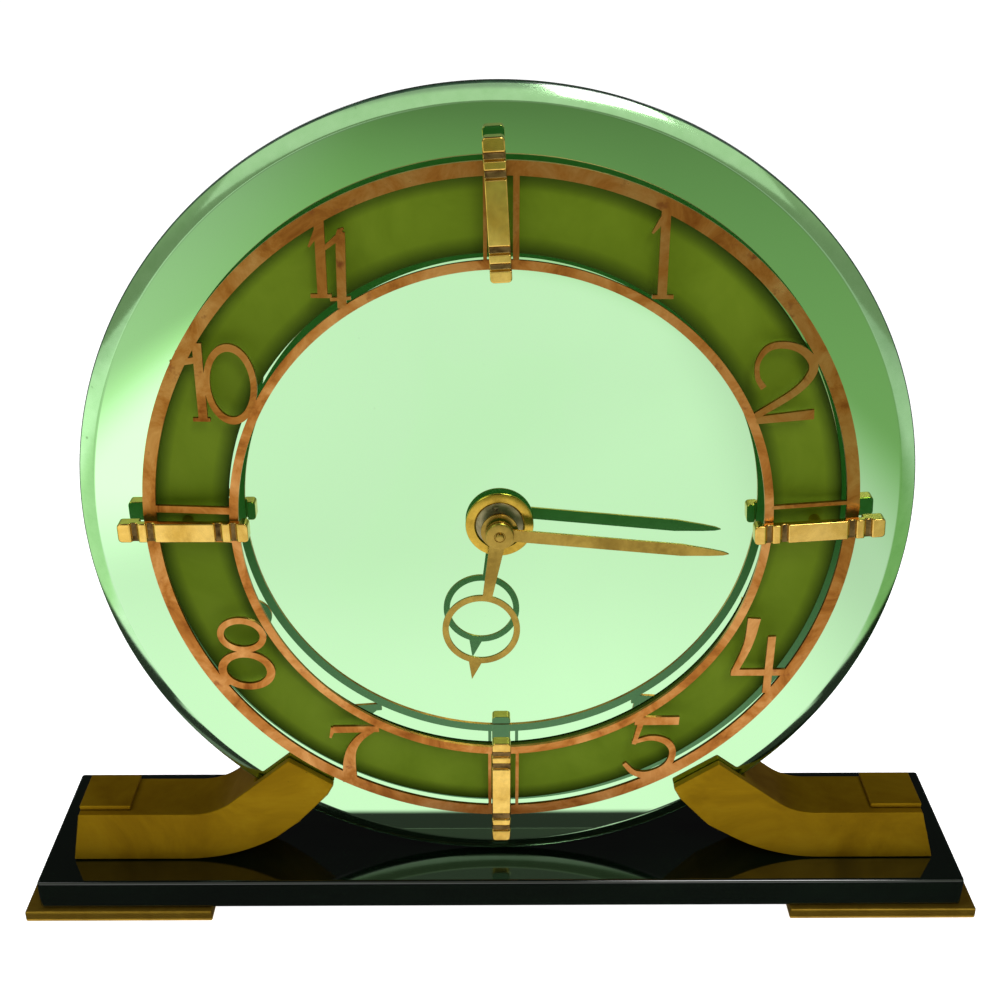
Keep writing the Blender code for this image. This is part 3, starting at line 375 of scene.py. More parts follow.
def hardboard():
    look = Look("hardboard", (0.10, 0.06, 0.032), 0.72, 0.0, Specular_IOR_Level=0.3)
    fibre = look.noise(1.0, 5.0, 0.7, 0.4, look.stretched((420.0, 420.0, 1300.0)))
    cloud = look.noise(28.0, 4.0, 0.6)
    body = look.ramp(fibre, (0.28, (0.045, 0.026, 0.013)), (0.75, (0.165, 0.100, 0.054)))
    look.colour(look.mix(look.between(cloud, 0.3, 0.7, 0.0, 0.45), body, (0.050, 0.030, 0.016)))
    look.bump(fibre, 0.4, 0.12)
    return look.material


def movement_brass():
    look = Look("movement_brass", (0.62, 0.44, 0.15), 0.28, 1.0)
    cloud = look.noise(80.0, 5.0, 0.6, 0.5)
    spun = look.noise(1.0, 2.0, 0.5, 0.0, look.stretched((150.0, 1500.0, 150.0)))
    body = look.ramp(cloud, (0.3, (0.44, 0.29, 0.085)), (0.68, (0.66, 0.47, 0.17)))
    look.colour(look.mix(look.between(spun, 0.2, 0.8, 0.0, 0.2), body, (0.28, 0.18, 0.05)))
    look.rough(look.between(cloud, 0.3, 0.7, 0.38, 0.22))
    look.bump(spun, 0.08, 0.05)
    return look.material


def key_brass():
    return metal("key_brass", (0.72, 0.50, 0.15), (0.50, 0.32, 0.08), 0.22, 140.0)


def steel():
    return metal("steel", (0.50, 0.50, 0.49), (0.30, 0.30, 0.30), 0.28, 160.0)


def blued_steel():
    return metal("blued_steel", (0.06, 0.09, 0.20), (0.03, 0.04, 0.09), 0.26, 200.0)


# ---------------------------------------------------------------- outlines, as lists of (x, y)

def polar(centre, distance, degrees):
    angle = math.radians(degrees)
    return (centre[0] + distance * math.cos(angle), centre[1] + distance * math.sin(angle))


def arc(centre, distance, start, end, points):
    step = (end - start) / (points - 1)
    return [polar(centre, distance, start + step * index) for index in range(points)]


def circle(distance, points=96, centre=(0.0, 0.0)):
    return [polar(centre, distance, 360.0 * index / points) for index in range(points)]


def ellipse(centre, half_width, half_height, points=72):
    return [(centre[0] + half_width * x, centre[1] + half_height * y) for x, y in circle(1.0, points)]


def rounded(points, radius, steps=4):
    """A closed outline with each corner turned into a small arc, as far as its neighbours leave room."""
    made = []
    count = len(points)
    for index, point in enumerate(points):
        here = Vector(point)
        back = Vector(points[index - 1]) - here
        ahead = Vector(points[(index + 1) % count]) - here
        reach = min(radius, 0.45 * back.length, 0.45 * ahead.length)
        bend = (back.normalized() + ahead.normalized()).length
        if bend < 0.25:
            made.append(tuple(here))
            continue
        start = here + back.normalized() * reach
        end = here + ahead.normalized() * reach
        for step in range(steps + 1):
            t = step / steps
            made.append(tuple(start * (1 - t) ** 2 + here * 2 * t * (1 - t) + end * t ** 2))
    return made


def smooth_route(route, steps=6):
    """More points along a route of (x, y, width), on a curve through the given ones."""
    if len(route) < 3:
        return route
    points = [Vector(point) for point in route]
    points = [points[0] * 2 - points[1]] + points + [points[-1] * 2 - points[-2]]
    made = []
    for a, b, c, d in zip(points, points[1:], points[2:], points[3:]):
        for step in range(steps):
            t = step / steps
            made.append(0.5 * (2 * b + (c - a) * t + (2 * a - 5 * b + 4 * c - d) * t * t
                               + (3 * b - a - 3 * c + d) * t ** 3))
    made.append(points[-2])
    return [tuple(point) for point in made]


def ribbon(route):
    """Outline of a stroke that follows (x, y, width) points."""
    left, right = [], []
    for index, (x, y, width) in enumerate(route):
        before = route[max(index - 1, 0)]
        after = route[min(index + 1, len(route) - 1)]
        dx, dy = after[0] - before[0], after[1] - before[1]
        length = math.hypot(dx, dy)
        nx, ny = -dy / length * width / 2, dx / length * width / 2
        left.append((x + nx, y + ny))
        right.append((x - nx, y - ny))
    return left + right[::-1]


# ---------------------------------------------------------------- meshes

# Edges turn at least this many degrees to be rounded, or to shade as sharp ones.
SOFT_FROM = 35.0
SHARP_FROM = 32.0
# A face looks to the rear when its normal's Y is more than this.
REAR_FACING = 0.6


def prism(outlines, low, high):
    """A flat solid from low to high along Z: the first outline filled, the others holes in it."""
    curve = bpy.data.curves.new("outline", "CURVE")
    curve.dimensions = "2D"
    curve.fill_mode = "BOTH"
    curve.extrude = (high - low) / 2 * MM
    for outline in outlines:
        spline = curve.splines.new("POLY")
        spline.points.add(len(outline) - 1)
        for point, (x, y) in zip(spline.points, outline):
            point.co = (x * MM, y * MM, 0.0, 1.0)
        spline.use_cyclic_u = True
    guide = bpy.data.objects.new("outline", curve)
    bpy.context.scene.collection.objects.link(guide)
    mesh = bpy.data.meshes.new_from_object(guide.evaluated_get(bpy.context.evaluated_depsgraph_get()))
    bpy.data.objects.remove(guide, do_unlink=True)
    shape = bmesh.new()
    shape.from_mesh(mesh)
    bmesh.ops.remove_doubles(shape, verts=shape.verts, dist=1e-7)
    bmesh.ops.translate(shape, verts=shape.verts, vec=(0.0, 0.0, (high + low) / 2 * MM))
    if len(outlines) == 1:
        bmesh.ops.dissolve_limit(shape, angle_limit=math.radians(0.05), verts=shape.verts, edges=shape.edges)
    bmesh.ops.recalc_face_normals(shape, faces=shape.faces)
    return to_mesh(shape)


def turned(profile, steps=160):
    """A solid turned about Z from a closed (radius, height) profile."""
    shape = bmesh.new()
    verts = [shape.verts.new((radius * MM, 0.0, height * MM)) for radius, height in profile]
    edges = [shape.edges.new(pair) for pair in zip(verts, verts[1:])]
    if verts[0].co.x > 0.0 or verts[-1].co.x > 0.0:
        edges.append(shape.edges.new((verts[-1], verts[0])))
    bmesh.ops.spin(shape, geom=verts + edges, cent=(0, 0, 0), axis=(0, 0, 1), angle=FULL, steps=steps,
                   use_merge=True)
    bmesh.ops.remove_doubles(shape, verts=shape.verts, dist=1e-8)
    bmesh.ops.recalc_face_normals(shape, faces=shape.faces)
    return to_mesh(shape)


def brick(x, y, z):
    """A six-sided block between three pairs of limits."""
    shape = bmesh.new()
    size = Matrix.Diagonal(((x[1] - x[0]) * MM, (y[1] - y[0]) * MM, (z[1] - z[0]) * MM, 1.0))
    middle = [(low + high) / 2 * MM for low, high in (x, y, z)]
    bmesh.ops.create_cube(shape, size=1.0, matrix=Matrix.Translation(middle) @ size)
    return to_mesh(shape)


def to_mesh(shape):
    mesh = bpy.data.meshes.new("shape")
    shape.to_mesh(mesh)
    shape.free()
    return mesh


def helper(mesh):
    """A hidden object for a Boolean, staged so that it is no piece of the clock."""
    obj = bpy.data.objects.new("helper", mesh)
    bpy.context.scene.collection.objects.link(obj)
    obj.hide_render = True
    return obj


def combined(mesh, tools, operation):
    """mesh after a Boolean with other meshes, all in one frame."""
    obj = helper(mesh)
    helpers = [helper(tool) for tool in tools]
    for tool in helpers:
        boolean = obj.modifiers.new("Boolean", "BOOLEAN")
        boolean.operation = operation
        boolean.object = tool
    made = bpy.data.meshes.new_from_object(obj.evaluated_get(bpy.context.evaluated_depsgraph_get()))
    for old in [obj] + helpers:
        bpy.data.objects.remove(old, do_unlink=True)
    shape = bmesh.new()
    shape.from_mesh(made)
    bmesh.ops.remove_doubles(shape, verts=shape.verts, dist=2e-6)
    return to_mesh(shape)


def joined(mesh, tools):
    return combined(mesh, tools, "UNION")


def cut(mesh, tools):
    return combined(mesh, tools, "DIFFERENCE")


def soften(obj, width, segments):
    """Rounds an object's sharp edges to a width in millimetres."""
    bevel = obj.modifiers.new("Soft edges", "BEVEL")
    bevel.width = width * MM
    bevel.segments = segments
    bevel.limit_method = "ANGLE"
    bevel.angle_limit = math.radians(SOFT_FROM)
    return bevel


def piece(name, mesh, look, replaced, body=FRAME_BODY, matrix=None, edge=0.0, segments=3, back=None):
    """Adds a finished piece that rides on a body and stands for the CAD nodes it replaces.

    look is one material, or a list that the mesh's faces choose from; back is a material for its rear faces.
    """
    if matrix:
        mesh.transform(matrix)
    mesh.name = name
    obj = bpy.data.objects.new(name, mesh)
    bpy.context.scene.collection.objects.link(obj)
    looks = look if isinstance(look, list) else [look]
    indices = [face.material_index if len(looks) > 1 else 0 for face in mesh.polygons]
    mesh.materials.clear()
    for made in looks:
        mesh.materials.append(made)
    mesh.polygons.foreach_set("material_index", indices)
    if edge:
        soften(obj, edge, segments).miter_outer = "MITER_ARC"
    if back:
        mesh.materials.append(back)
        for face in mesh.polygons:
            if face.normal.y > REAR_FACING:
                face.material_index = len(looks)
    mesh.shade_smooth()
    mesh.set_sharp_from_angle(angle=math.radians(SHARP_FROM))
    if edge:
        normals = obj.modifiers.new("Flat faces", "WEIGHTED_NORMAL")
        normals.keep_sharp = True
    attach(obj, body)
    if replaced:
        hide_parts(*replaced)
    return obj


# ---------------------------------------------------------------- stand

BRACKET_TOP = 16.5
PAD_OUTER = 124.1
RIGHT_SHIFT = 1.6
RIGHT_NOSE_DROP = 1.5
SLOT_ROOM = 0.4
SLOT_PLAY = 0.3


def bracket_outline(side):
    """Seen from the front: a foot on the slab, an arm swept up under the mirror and a flat top."""
    shift, drop = (RIGHT_SHIFT, RIGHT_NOSE_DROP) if side > 0 else (0.0, 0.0)
    nose = [(59.5, 13.8), (50.5, 23.5), (48.6, 27.0), (61.3, 35.4)]
    outline = [(127.3, GAP)] + arc((94.0, 52.3), 52.0, 270.0, 238.0, 28)
    outline += [(x, v - drop) for x, v in nose] + arc((91.0, 35.5), 19.0, 232.0, 270.0, 22)
    return [(side * (x + shift), v) for x, v in outline] + [(side * PAD_OUTER, BRACKET_TOP)]


def make_stand(brass, foot, black):
    piece("slab_visual", brick(*SLAB), black, ["base_slab"], edge=0.9, segments=4)
    disc_back, disc_front = span("mirror_disc")
    disc_radius = radius_of("mirror_disc")
    for word, side in (("left", -1), ("right", 1)):
        foot_node = f"foot_plate_{word}"
        piece(f"{foot_node}_visual", brick(*limits(foot_node)), foot, [foot_node], edge=0.6)
        node = f"bracket_{word}"
        back, front = span(node)
        origin = Vector((0.0, 0.0, SLAB_TOP * MM))
        arm = prism([rounded(bracket_outline(side), 0.5)], back, front)
        arm.transform(dial_matrix(origin))
        slot = turned([
            (disc_radius + SLOT_ROOM, disc_front + SLOT_PLAY),
            (disc_radius + SLOT_ROOM, disc_back - SLOT_PLAY),
            (1.0, disc_back - SLOT_PLAY),
            (1.0, disc_front + SLOT_PLAY),
        ], 240)
        slot.transform(dial_matrix(MIRROR))
        piece(f"{node}_visual", cut(arm, [slot]), brass, [node], edge=0.4)
        pad = f"bracket_pad_{word}"
        piece(f"{pad}_visual", brick(*limits(pad)), brass, [pad], edge=0.35)


# ---------------------------------------------------------------- mirror and dial

BAND_INNER = 70.9
BAND_OUTER = 90.3
BEVEL_WIDTH = 4.0
BEVEL_DROP = 1.5
CORE = 6.0


def make_mirror(glass, bevel, edge_look):
    back, front = span("mirror_disc")
    rim = radius_of("mirror_disc")
    profile = [
        (CORE, front),
        (CORE + 0.5, front),
        (rim - BEVEL_WIDTH - 0.6, front),
        (rim - BEVEL_WIDTH - 0.25, front),
        (rim - BEVEL_WIDTH + 0.2, front - 0.06),
        (rim - 0.35, front - BEVEL_DROP + 0.08),
        (rim - 0.1, front - BEVEL_DROP - 0.05),
        (rim, front - BEVEL_DROP - 0.35),
        (rim, back + 0.5),
        (rim - 0.15, back + 0.15),
        (rim - 0.5, back),
        (rim - 1.0, back),
        (CORE, back),
    ]
    mesh = turned(profile, 320)
    obj = piece("mirror_visual", mesh, [glass, bevel, edge_look], ["mirror_disc"],
                matrix=dial_matrix(MIRROR))
    for face in obj.data.polygons:
        middle = face.center
        distance = math.hypot(middle.x - MIRROR.x, middle.z - MIRROR.z) / MM
        depth = (FACE_Y - middle.y) / MM
        if distance > rim - 0.4 or depth < front - BEVEL_DROP - 0.1:
            face.material_index = 2
        elif distance > rim - BEVEL_WIDTH - 0.3:
            face.material_index = 1


def make_band(paint):
    back, front = span("dial_band")
    profile = [
        (BAND_OUTER - 0.25, front),
        (BAND_OUTER, front - 0.2),
        (BAND_OUTER, back),
        (BAND_INNER, back),
        (BAND_INNER, front - 0.2),
        (BAND_INNER + 0.25, front),
    ]
    piece("dial_band_visual", turned(profile, 240), paint, ["dial_band"],
          matrix=dial_matrix(MIRROR))


def numeral_strokes():
    """Strokes of the openwork numerals, each a route of (u, v, width) points."""
    return {
        "eleven": [
            [(-43.2, 61.4, 2.4), (-43.3, 80.5, 2.4)],
            [(-43.6, 77.4, 1.8), (-46.0, 73.4, 0.5)],
            [(-46.1, 61.8, 0.9), (-41.0, 61.8, 0.9)],
            [(-38.6, 58.9, 2.2), (-38.3, 75.6, 2.2), (-37.7, 77.0, 0.8)],
            [(-38.8, 75.8, 1.5), (-42.4, 73.0, 1.0)],
            [(-41.4, 61.0, 0.8), (-36.4, 61.4, 0.8)],
        ],
        "one": [
            [(38.5, 61.2, 2.25), (38.7, 82.3, 2.25)],
            [(38.5, 80.5, 1.8), (35.6, 76.6, 0.5)],
            [(36.1, 61.6, 0.9), (41.3, 61.5, 0.9)],
        ],
        "two": [
            [
                (65.1, 38.3, 1.6),
                (63.4, 41.0, 1.3),
                (63.2, 45.0, 1.2),
                (65.4, 48.3, 1.6),
                (69.3, 49.1, 1.7),
                (73.8, 47.8, 1.9),
                (77.0, 44.6, 2.3),
                (76.8, 41.2, 2.2),
                (73.0, 36.9, 1.9),
                (63.6, 31.0, 1.7),
            ],
            [(63.8, 29.9, 1.9), (78.6, 31.0, 2.5)],
        ],
        "ten": [
            [(-75.0, 29.5, 2.3), (-75.0, 49.6, 2.3)],
            [(-75.4, 45.4, 1.5), (-82.0, 44.2, 1.7)],
            [(-77.6, 29.9, 0.9), (-73.2, 30.0, 0.9)],
        ],
        "eight": [[(-75.6, -47.2, 2.6), (-78.9, -49.5, 2.6)]],
        "seven": [
            [(-47.3, -62.9, 2.2), (-34.4, -62.2, 2.0)],
            [(-47.3, -62.2, 1.4), (-48.3, -65.8, 0.6)],
            [
                (-36.4, -62.5, 1.9),
                (-39.9, -65.6, 2.1),
                (-42.4, -69.7, 2.7),
                (-43.4, -75.0, 3.6),
                (-43.5, -81.8, 4.2),
            ],
        ],
        "five": [
            [(37.4, -59.8, 2.7), (49.9, -60.2, 2.7)],
            [(39.3, -59.9, 1.7), (37.5, -68.0, 1.2)],
            [
                (37.1, -67.4, 1.2),
                (42.3, -66.0, 1.6),
                (46.9, -67.6, 2.0),
                (48.8, -71.4, 1.9),
                (47.4, -76.2, 2.1),
                (42.8, -79.3, 2.7),
                (38.2, -78.5, 1.8),
                (35.1, -75.0, 1.3),
            ],
        ],
        "four": [
            [(68.3, -27.2, 3.6), (67.2, -35.6, 2.5), (64.0, -44.8, 1.8)],
            [(63.3, -44.4, 2.0), (80.1, -45.2, 2.0)],
            [(73.7, -33.2, 2.2), (73.8, -51.7, 2.2)],
        ],
        "bars": [
            [(-4.05, 69.5, 0.9), (-4.05, 91.5, 0.9)],
            [(3.3, 69.5, 1.5), (3.3, 91.5, 1.5)],
            [(-3.3, -69.5, 0.9), (-3.3, -91.5, 0.9)],
            [(4.5, -69.5, 0.9), (4.5, -91.5, 0.9)],
            [(-69.5, 5.2, 1.9), (-91.5, 5.0, 1.9)],
            [(-69.5, -3.4, 0.9), (-91.5, -3.4, 0.9)],
            [(69.5, 5.8, 1.0), (91.5, 6.4, 1.0)],
            [(69.5, -3.4, 0.9), (91.5, -3.4, 0.9)],
        ],
    }


def numeral_loops():
    """Closed loops of the round numerals: centre, then half sizes of the outer and the inner ellipse."""
    return [
        ((-67.4, 39.3), (6.7, 10.3), (5.1, 8.4)),
        ((-70.5, -32.2), (6.75, 5.5), (4.95, 3.65)),
        ((-70.1, -43.6), (7.9, 6.3), (5.6, 4.3)),
    ]


RING_THICKNESS = 1.0
RING_OUTER_BAND = 3.4
RING_INNER = 68.4
RING_INNER_BAND = 2.3
RING_DISH = 2.2
RING_WEDGES = 45


def wedged(mesh, planes, first=0.37):
    """The mesh cut along planes through its axis, so that it can be dished without creases.

    The first plane stands that share of a step round from X, clear of the mesh's own corners.
    """
    shape = bmesh.new()
    shape.from_mesh(mesh)
    for step in range(planes):
        turn = math.pi * (step + first) / planes
        bmesh.ops.bisect_plane(shape, geom=shape.verts[:] + shape.edges[:] + shape.faces[:], dist=1e-7,
                               plane_co=(0.0, 0.0, 0.0), plane_no=(math.cos(turn), math.sin(turn), 0.0))
    return to_mesh(shape)


def make_chapter_ring(look, dull):
    """The pierced ring with its numerals, dished so that its outer rim lies nearer the mirror."""
    front = span("chapter_ring")[1]
    back = front - RING_THICKNESS
    outer = radius_of("chapter_ring")
    ring = prism([circle(outer, 240), circle(outer - RING_OUTER_BAND, 240)], back, front)
    tools = [prism([circle(RING_INNER + RING_INNER_BAND, 200), circle(RING_INNER, 200)], back, front)]
    for strokes in numeral_strokes().values():
        tools += [prism([ribbon(smooth_route(stroke))], back, front) for stroke in strokes]
    tools += [prism([ellipse(centre, *large), ellipse(centre, *small)], back, front)
              for centre, large, small in numeral_loops()]
    mesh = wedged(joined(ring, tools), RING_WEDGES)
    start = (RING_INNER + RING_INNER_BAND) * MM
    slope = RING_DISH / (outer - RING_INNER - RING_INNER_BAND)
    for vertex in mesh.vertices:
        vertex.co.z -= slope * max(math.hypot(vertex.co.x, vertex.co.y) - start, 0.0)
    piece("chapter_ring_visual", mesh, look, ["chapter_ring"], matrix=dial_matrix(DIAL), edge=0.2,
          segments=2, back=dull)


# Turns of the clamps from upright, in degrees anticlockwise.
CLAMP_TURNS = {"12": 3.3, "3": -86.0, "6": 180.0, "9": 90.0}
CLAMP_LENGTH = 33.8
CLAMP_WIDTH = 5.3
# Each groove's two sides, as shares of the clamp's length from its outer end.
CLAMP_GROOVES = ((0.10, 0.16), (0.22, 0.285), (0.74, 0.80), (0.86, 0.915))
CLAMP_BACK = 4.9
CLAMP_CORNER = 1.0
GROOVE_DEPTH = 0.8
GROOVE_SLOPE = 0.25
BRIDGE = (-14.7, 11.3)
BRIDGE_BACK = 6.6
STUD_RADIUS = 1.5
STUD_SUNK = 1.0
ROUNDING = 1e-6


def make_clamp(hour, brass, brown, dull):
    """A grooved bridge across the chapter ring, drawn as its side outline and extruded across its width."""
    node = f"clamp_{hour}"
    mirror_face, front = span(node)
    back = CLAMP_BACK
    end = CLAMP_LENGTH / 2
    floor = front - GROOVE_DEPTH
    side = [(end, back), (end, front)]
    for near, far in CLAMP_GROOVES:
        start, stop = end - near * CLAMP_LENGTH, end - far * CLAMP_LENGTH
        side += [(start, front), (start - GROOVE_SLOPE, floor), (stop + GROOVE_SLOPE, floor), (stop, front)]
    side += [(-end, front), (-end, back)]
    side += [(BRIDGE[0], back), (BRIDGE[0], BRIDGE_BACK), (BRIDGE[1], BRIDGE_BACK), (BRIDGE[1], back)]
    mesh = prism([side], -CLAMP_WIDTH / 2, CLAMP_WIDTH / 2)
    mesh.transform(Matrix(((0, 0, 1, 0), (1, 0, 0, 0), (0, 1, 0, 0), (0, 0, 0, 1))))
    shape = bmesh.new()
    shape.from_mesh(mesh)
    ends = [edge for edge in shape.edges
            if all(abs(abs(corner.co.y) - end * MM) < ROUNDING for corner in edge.verts)
            and abs(edge.verts[0].co.x - edge.verts[1].co.x) < ROUNDING]
    bmesh.ops.bevel(shape, geom=ends, offset=CLAMP_CORNER * MM, segments=4, profile=0.5, affect="EDGES")
    bmesh.ops.recalc_face_normals(shape, faces=shape.faces)
    for face in shape.faces:
        middle = face.calc_center_median()
        if face.normal.z > 0.9 and middle.z < (front - 0.5 * GROOVE_DEPTH) * MM:
            face.material_index = 1
    mesh = to_mesh(shape)
    matrix = dial_matrix(centre_of(node), math.radians(CLAMP_TURNS[hour]))
    piece(f"{node}_visual", mesh, [brass, brown], [node], matrix=matrix, edge=0.32,
          back=dull)
    top = back + STUD_SUNK
    stud = turned([(0.0, top), (STUD_RADIUS, top), (STUD_RADIUS, mirror_face), (0.0, mirror_face)], 32)
    matrix = dial_matrix(centre_of(node))
    piece(f"clamp_stud_{hour}", stud, brass, [], matrix=matrix, edge=0.2)


def make_clamp_nut(hour, look):
    node = f"clamp_nut_{hour}"
    back, front = span(node)
    mesh = prism([circle(3.2, 6), circle(1.75, 32)], back, front)
    piece(f"{node}_visual", mesh, look, [node], matrix=dial_matrix(centre_of(node)), edge=0.25)


PIN_HOLE = (-1.0, 5.05)
PIN_HOLE_RADIUS = 0.8


def make_hub(collar, bush, dull):
    """The flanged collar round the hands' arbor, and the bush in it with its small pin hole."""
    back, front = span("escutcheon_ring")
    ring = [
        (6.4, back),
        (7.6, back),
        (7.7, front - 1.0),
        (8.8, front - 0.9),
        (9.0, front - 0.75),
        (9.0, front - 0.4),
        (8.85, front - 0.12),
        (8.5, front),
        (6.7, front),
        (6.4, front - 0.2),
    ]
    piece("escutcheon_visual", turned(ring, 128), collar, ["escutcheon_ring"],
          matrix=dial_matrix(HUB), back=dull)
    back, front = span("centre_bush")
    bush_profile = [
        (3.4, back),
        (4.8, back),
        (4.8, GAP),
        (6.38, GAP),
        (6.38, front - 0.25),
        (6.2, front - 0.05),
        (6.0, front),
        (3.6, front),
        (3.4, front - 0.2),
    ]
    body = turned(bush_profile, 96)
    wall = PIN_HOLE_RADIUS
    hole = turned([(0.0, front + 0.5), (wall, front + 0.5), (wall, front - 1.2), (0.0, front - 1.5)], 24)
    hole.transform(Matrix.Translation((PIN_HOLE[0] * MM, PIN_HOLE[1] * MM, 0.0)))
    piece("bush_visual", cut(body, [hole]), bush, ["centre_bush"], matrix=dial_matrix(HUB))


# The hands' places at rest, in degrees clockwise from upright.
HOUR_ANGLE = 189.6
MINUTE_ANGLE = 95.5


def hour_outline():
    """Stem from the hub to an open ring, then a short point."""
    ring_centre, ring_radius = (0.0, 29.7), 10.5
    stem_root = math.degrees(math.acos(2.0 / 4.9))
    stem_end = math.degrees(math.acos(1.3 / ring_radius))
    tip_base = math.degrees(math.acos(1.75 / ring_radius))
    outline = arc((0.0, 0.0), 4.9, 180.0 - stem_root, 360.0 + stem_root, 48)
    outline += arc(ring_centre, ring_radius, -stem_end, tip_base, 48)
    outline += [(0.0, 45.5)]
    outline += arc(ring_centre, ring_radius, 180.0 - tip_base, 180.0 + stem_end, 48)
    return [outline, circle(8.8, 96, ring_centre), circle(2.95, 48)]


def minute_outline():
    """A slim baton that tapers to a point beyond the numerals' inner ring."""
    hub, half = 3.7, 1.65
    root = math.degrees(math.acos(half / hub))
    outline = arc((0.0, 0.0), hub, 180.0 - root, 360.0 + root, 48)
    side = [(half, 47.9), (1.3, 51.5), (0.95, 55.5), (0.5, 58.9)]
    outline += side + [(0.0, 60.4)] + [(-x, y) for x, y in side[::-1]]
    return [outline, circle(1.3, 32)]


def make_hands(look, dull):
    """Both hands, and the wide flat nut with its small pin that holds them."""
    for word, outlines, angle, body in (
        ("hour", hour_outline(), HOUR_ANGLE, "hour_group"),
        ("minute", minute_outline(), MINUTE_ANGLE, "hands_arbor"),
    ):
        node = f"{word}_hand"
        mesh = prism(outlines, *span(node))
        matrix = dial_matrix(HUB, -math.radians(angle))
        piece(f"{node}_visual", mesh, look, [node], body, matrix, edge=0.12, segments=2,
              back=dull)
    back, front = span("hand_nut")
    shoulder = front - 0.7
    nut = [
        (0.0, back),
        (3.65, back),
        (3.65, shoulder - 0.3),
        (3.55, shoulder - 0.08),
        (3.3, shoulder),
        (1.5, shoulder),
        (1.35, shoulder - 0.15),
        (1.15, shoulder - 0.15),
        (1.1, shoulder + 0.08),
        (1.1, front - 0.3),
        (0.95, front - 0.08),
        (0.7, front),
        (0.0, front),
    ]
    piece("hand_nut_visual", turned(nut, 64), look, ["hand_nut"], "hands_arbor",
          dial_matrix(HUB))


# ---------------------------------------------------------------- back of the clock

CASE_WALL = 1.0
KNURL_COUNT = 32
KNURL_DEPTH = 0.035
KNURL_FROM = 4.3


def make_back(board, brass, key, steel_look):
    """The board and the drum behind the mirror, the knurled setting knob and the clamps' nuts."""
    back, front = span("backing_board")
    outer = radius_of("backing_board")
    profile = [
        (CORE, front),
        (outer - 0.3, front),
        (outer, front - 0.3),
        (outer, back + 0.4),
        (outer - 0.4, back),
        (CORE, back),
    ]
    piece("backing_board_visual", turned(profile, 240), board, ["backing_board"],
          matrix=dial_matrix(MIRROR))
    back, front = span("movement_case")
    outer = radius_of("movement_case")
    drum = [
        (CORE, front),
        (outer - 0.9, front),
        (outer - 0.25, front - 0.25),
        (outer, front - 0.9),
        (outer, back),
        (outer - CASE_WALL, back),
        (outer - CASE_WALL, front - CASE_WALL),
        (CORE, front - CASE_WALL),
    ]
    piece("movement_case_visual", turned(drum, 200), brass, ["movement_case"],
          matrix=dial_matrix(HUB))
    back, front = span("hand_set_knob")
    knob = [
        (0.0, front - 1.8),
        (1.3, front - 1.8),
        (1.3, front),
        (4.0, front),
        (4.6, front - 0.6),
        (4.6, back + 0.6),
        (4.4, back + 0.2),
        (4.0, back),
        (1.5, back),
        (1.2, back + 0.3),
        (0.0, back + 0.3),
    ]
    shape = turned(knob, 96)
    for vertex in shape.vertices:
        if math.hypot(vertex.co.x, vertex.co.y) > KNURL_FROM * MM:
            turn = math.atan2(vertex.co.y, vertex.co.x)
            scale = 1.0 - KNURL_DEPTH * (0.5 + 0.5 * math.cos(turn * KNURL_COUNT))
            vertex.co.x *= scale
            vertex.co.y *= scale
    piece("hand_set_knob_visual", shape, key, ["hand_set_knob"], "hands_arbor",
          dial_matrix(HUB))
    for hour in CLAMP_TURNS:
        make_clamp_nut(hour, steel_look)


# ---------------------------------------------------------------- CAD nodes that keep their own shape

MOVEMENT_NODES = (
    "back_cover",
    "front_plate",
    "back_plate",
    "pillar_",
    "centre_wheel",
    "third_wheel",
    "fourth_wheel",
    "minute_wheel",
    "hour_wheel",
    "mainspring_barrel",
    "balance_wheel",
)
BLUED_NODES = ("mainspring", "hairspring", "click_spring")
SOFTENED_NODES = ("back_cover", "winding_key")
KEPT_EDGE = 0.15


def finish_kept_nodes(steel_look, movement, key, blued):
    """Gives every CAD node that still shows its finish, and softens the edges of the larger ones."""
    for name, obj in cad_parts.items():
        if obj.hide_render:
            continue
        if name.startswith(MOVEMENT_NODES):
            look = movement
        elif name == "winding_key":
            look = key
        elif name.startswith(BLUED_NODES):
            look = blued
        else:
            look = steel_look
        obj.data.materials.clear()
        obj.data.materials.append(look)
        if name in SOFTENED_NODES:
            soften(obj, KEPT_EDGE, 2)


# ---------------------------------------------------------------- studio

FLOOR_HALF = 8.0
WHITE = (1.0, 1.0, 1.0)
BLACK = (0.0, 0.0, 0.0)


def stage_object(name, shape, look):
    """Adds a part of the studio, which is no part of the clock."""
    obj = bpy.data.objects.new(name, to_mesh(shape))
    obj.data.materials.append(look.material)
    bpy.context.scene.collection.objects.link(obj)
    return obj


def make_floor():
    look = Look("pale_floor", (0.90, 0.90, 0.90), 0.9, 0.0, Specular_IOR_Level=0.0)
    look.colour(look.ramp(look.noise(3.0, 2.0), (0.0, 0.88), (1.0, 0.92)))
    look.glow(WHITE)
    shape = bmesh.new()
    bmesh.ops.create_grid(shape, x_segments=2, y_segments=2, size=FLOOR_HALF)
    stage_object("floor", shape, look)


def only_glossy(obj):
    """Lets only reflections see a studio card."""
    obj.visible_camera = False
    obj.visible_diffuse = False
    obj.visible_shadow = False


CARD_HALF = 7.0
POOL_CENTRE = (-0.02, -0.2)
POOL_HALF = (0.2, 0.52)
DIM_LEAST = 0.24
DIM_START = 1.36
SHADE_DEPTH = 0.97
CARD_TINT = (0.68, 1.0, 0.48)

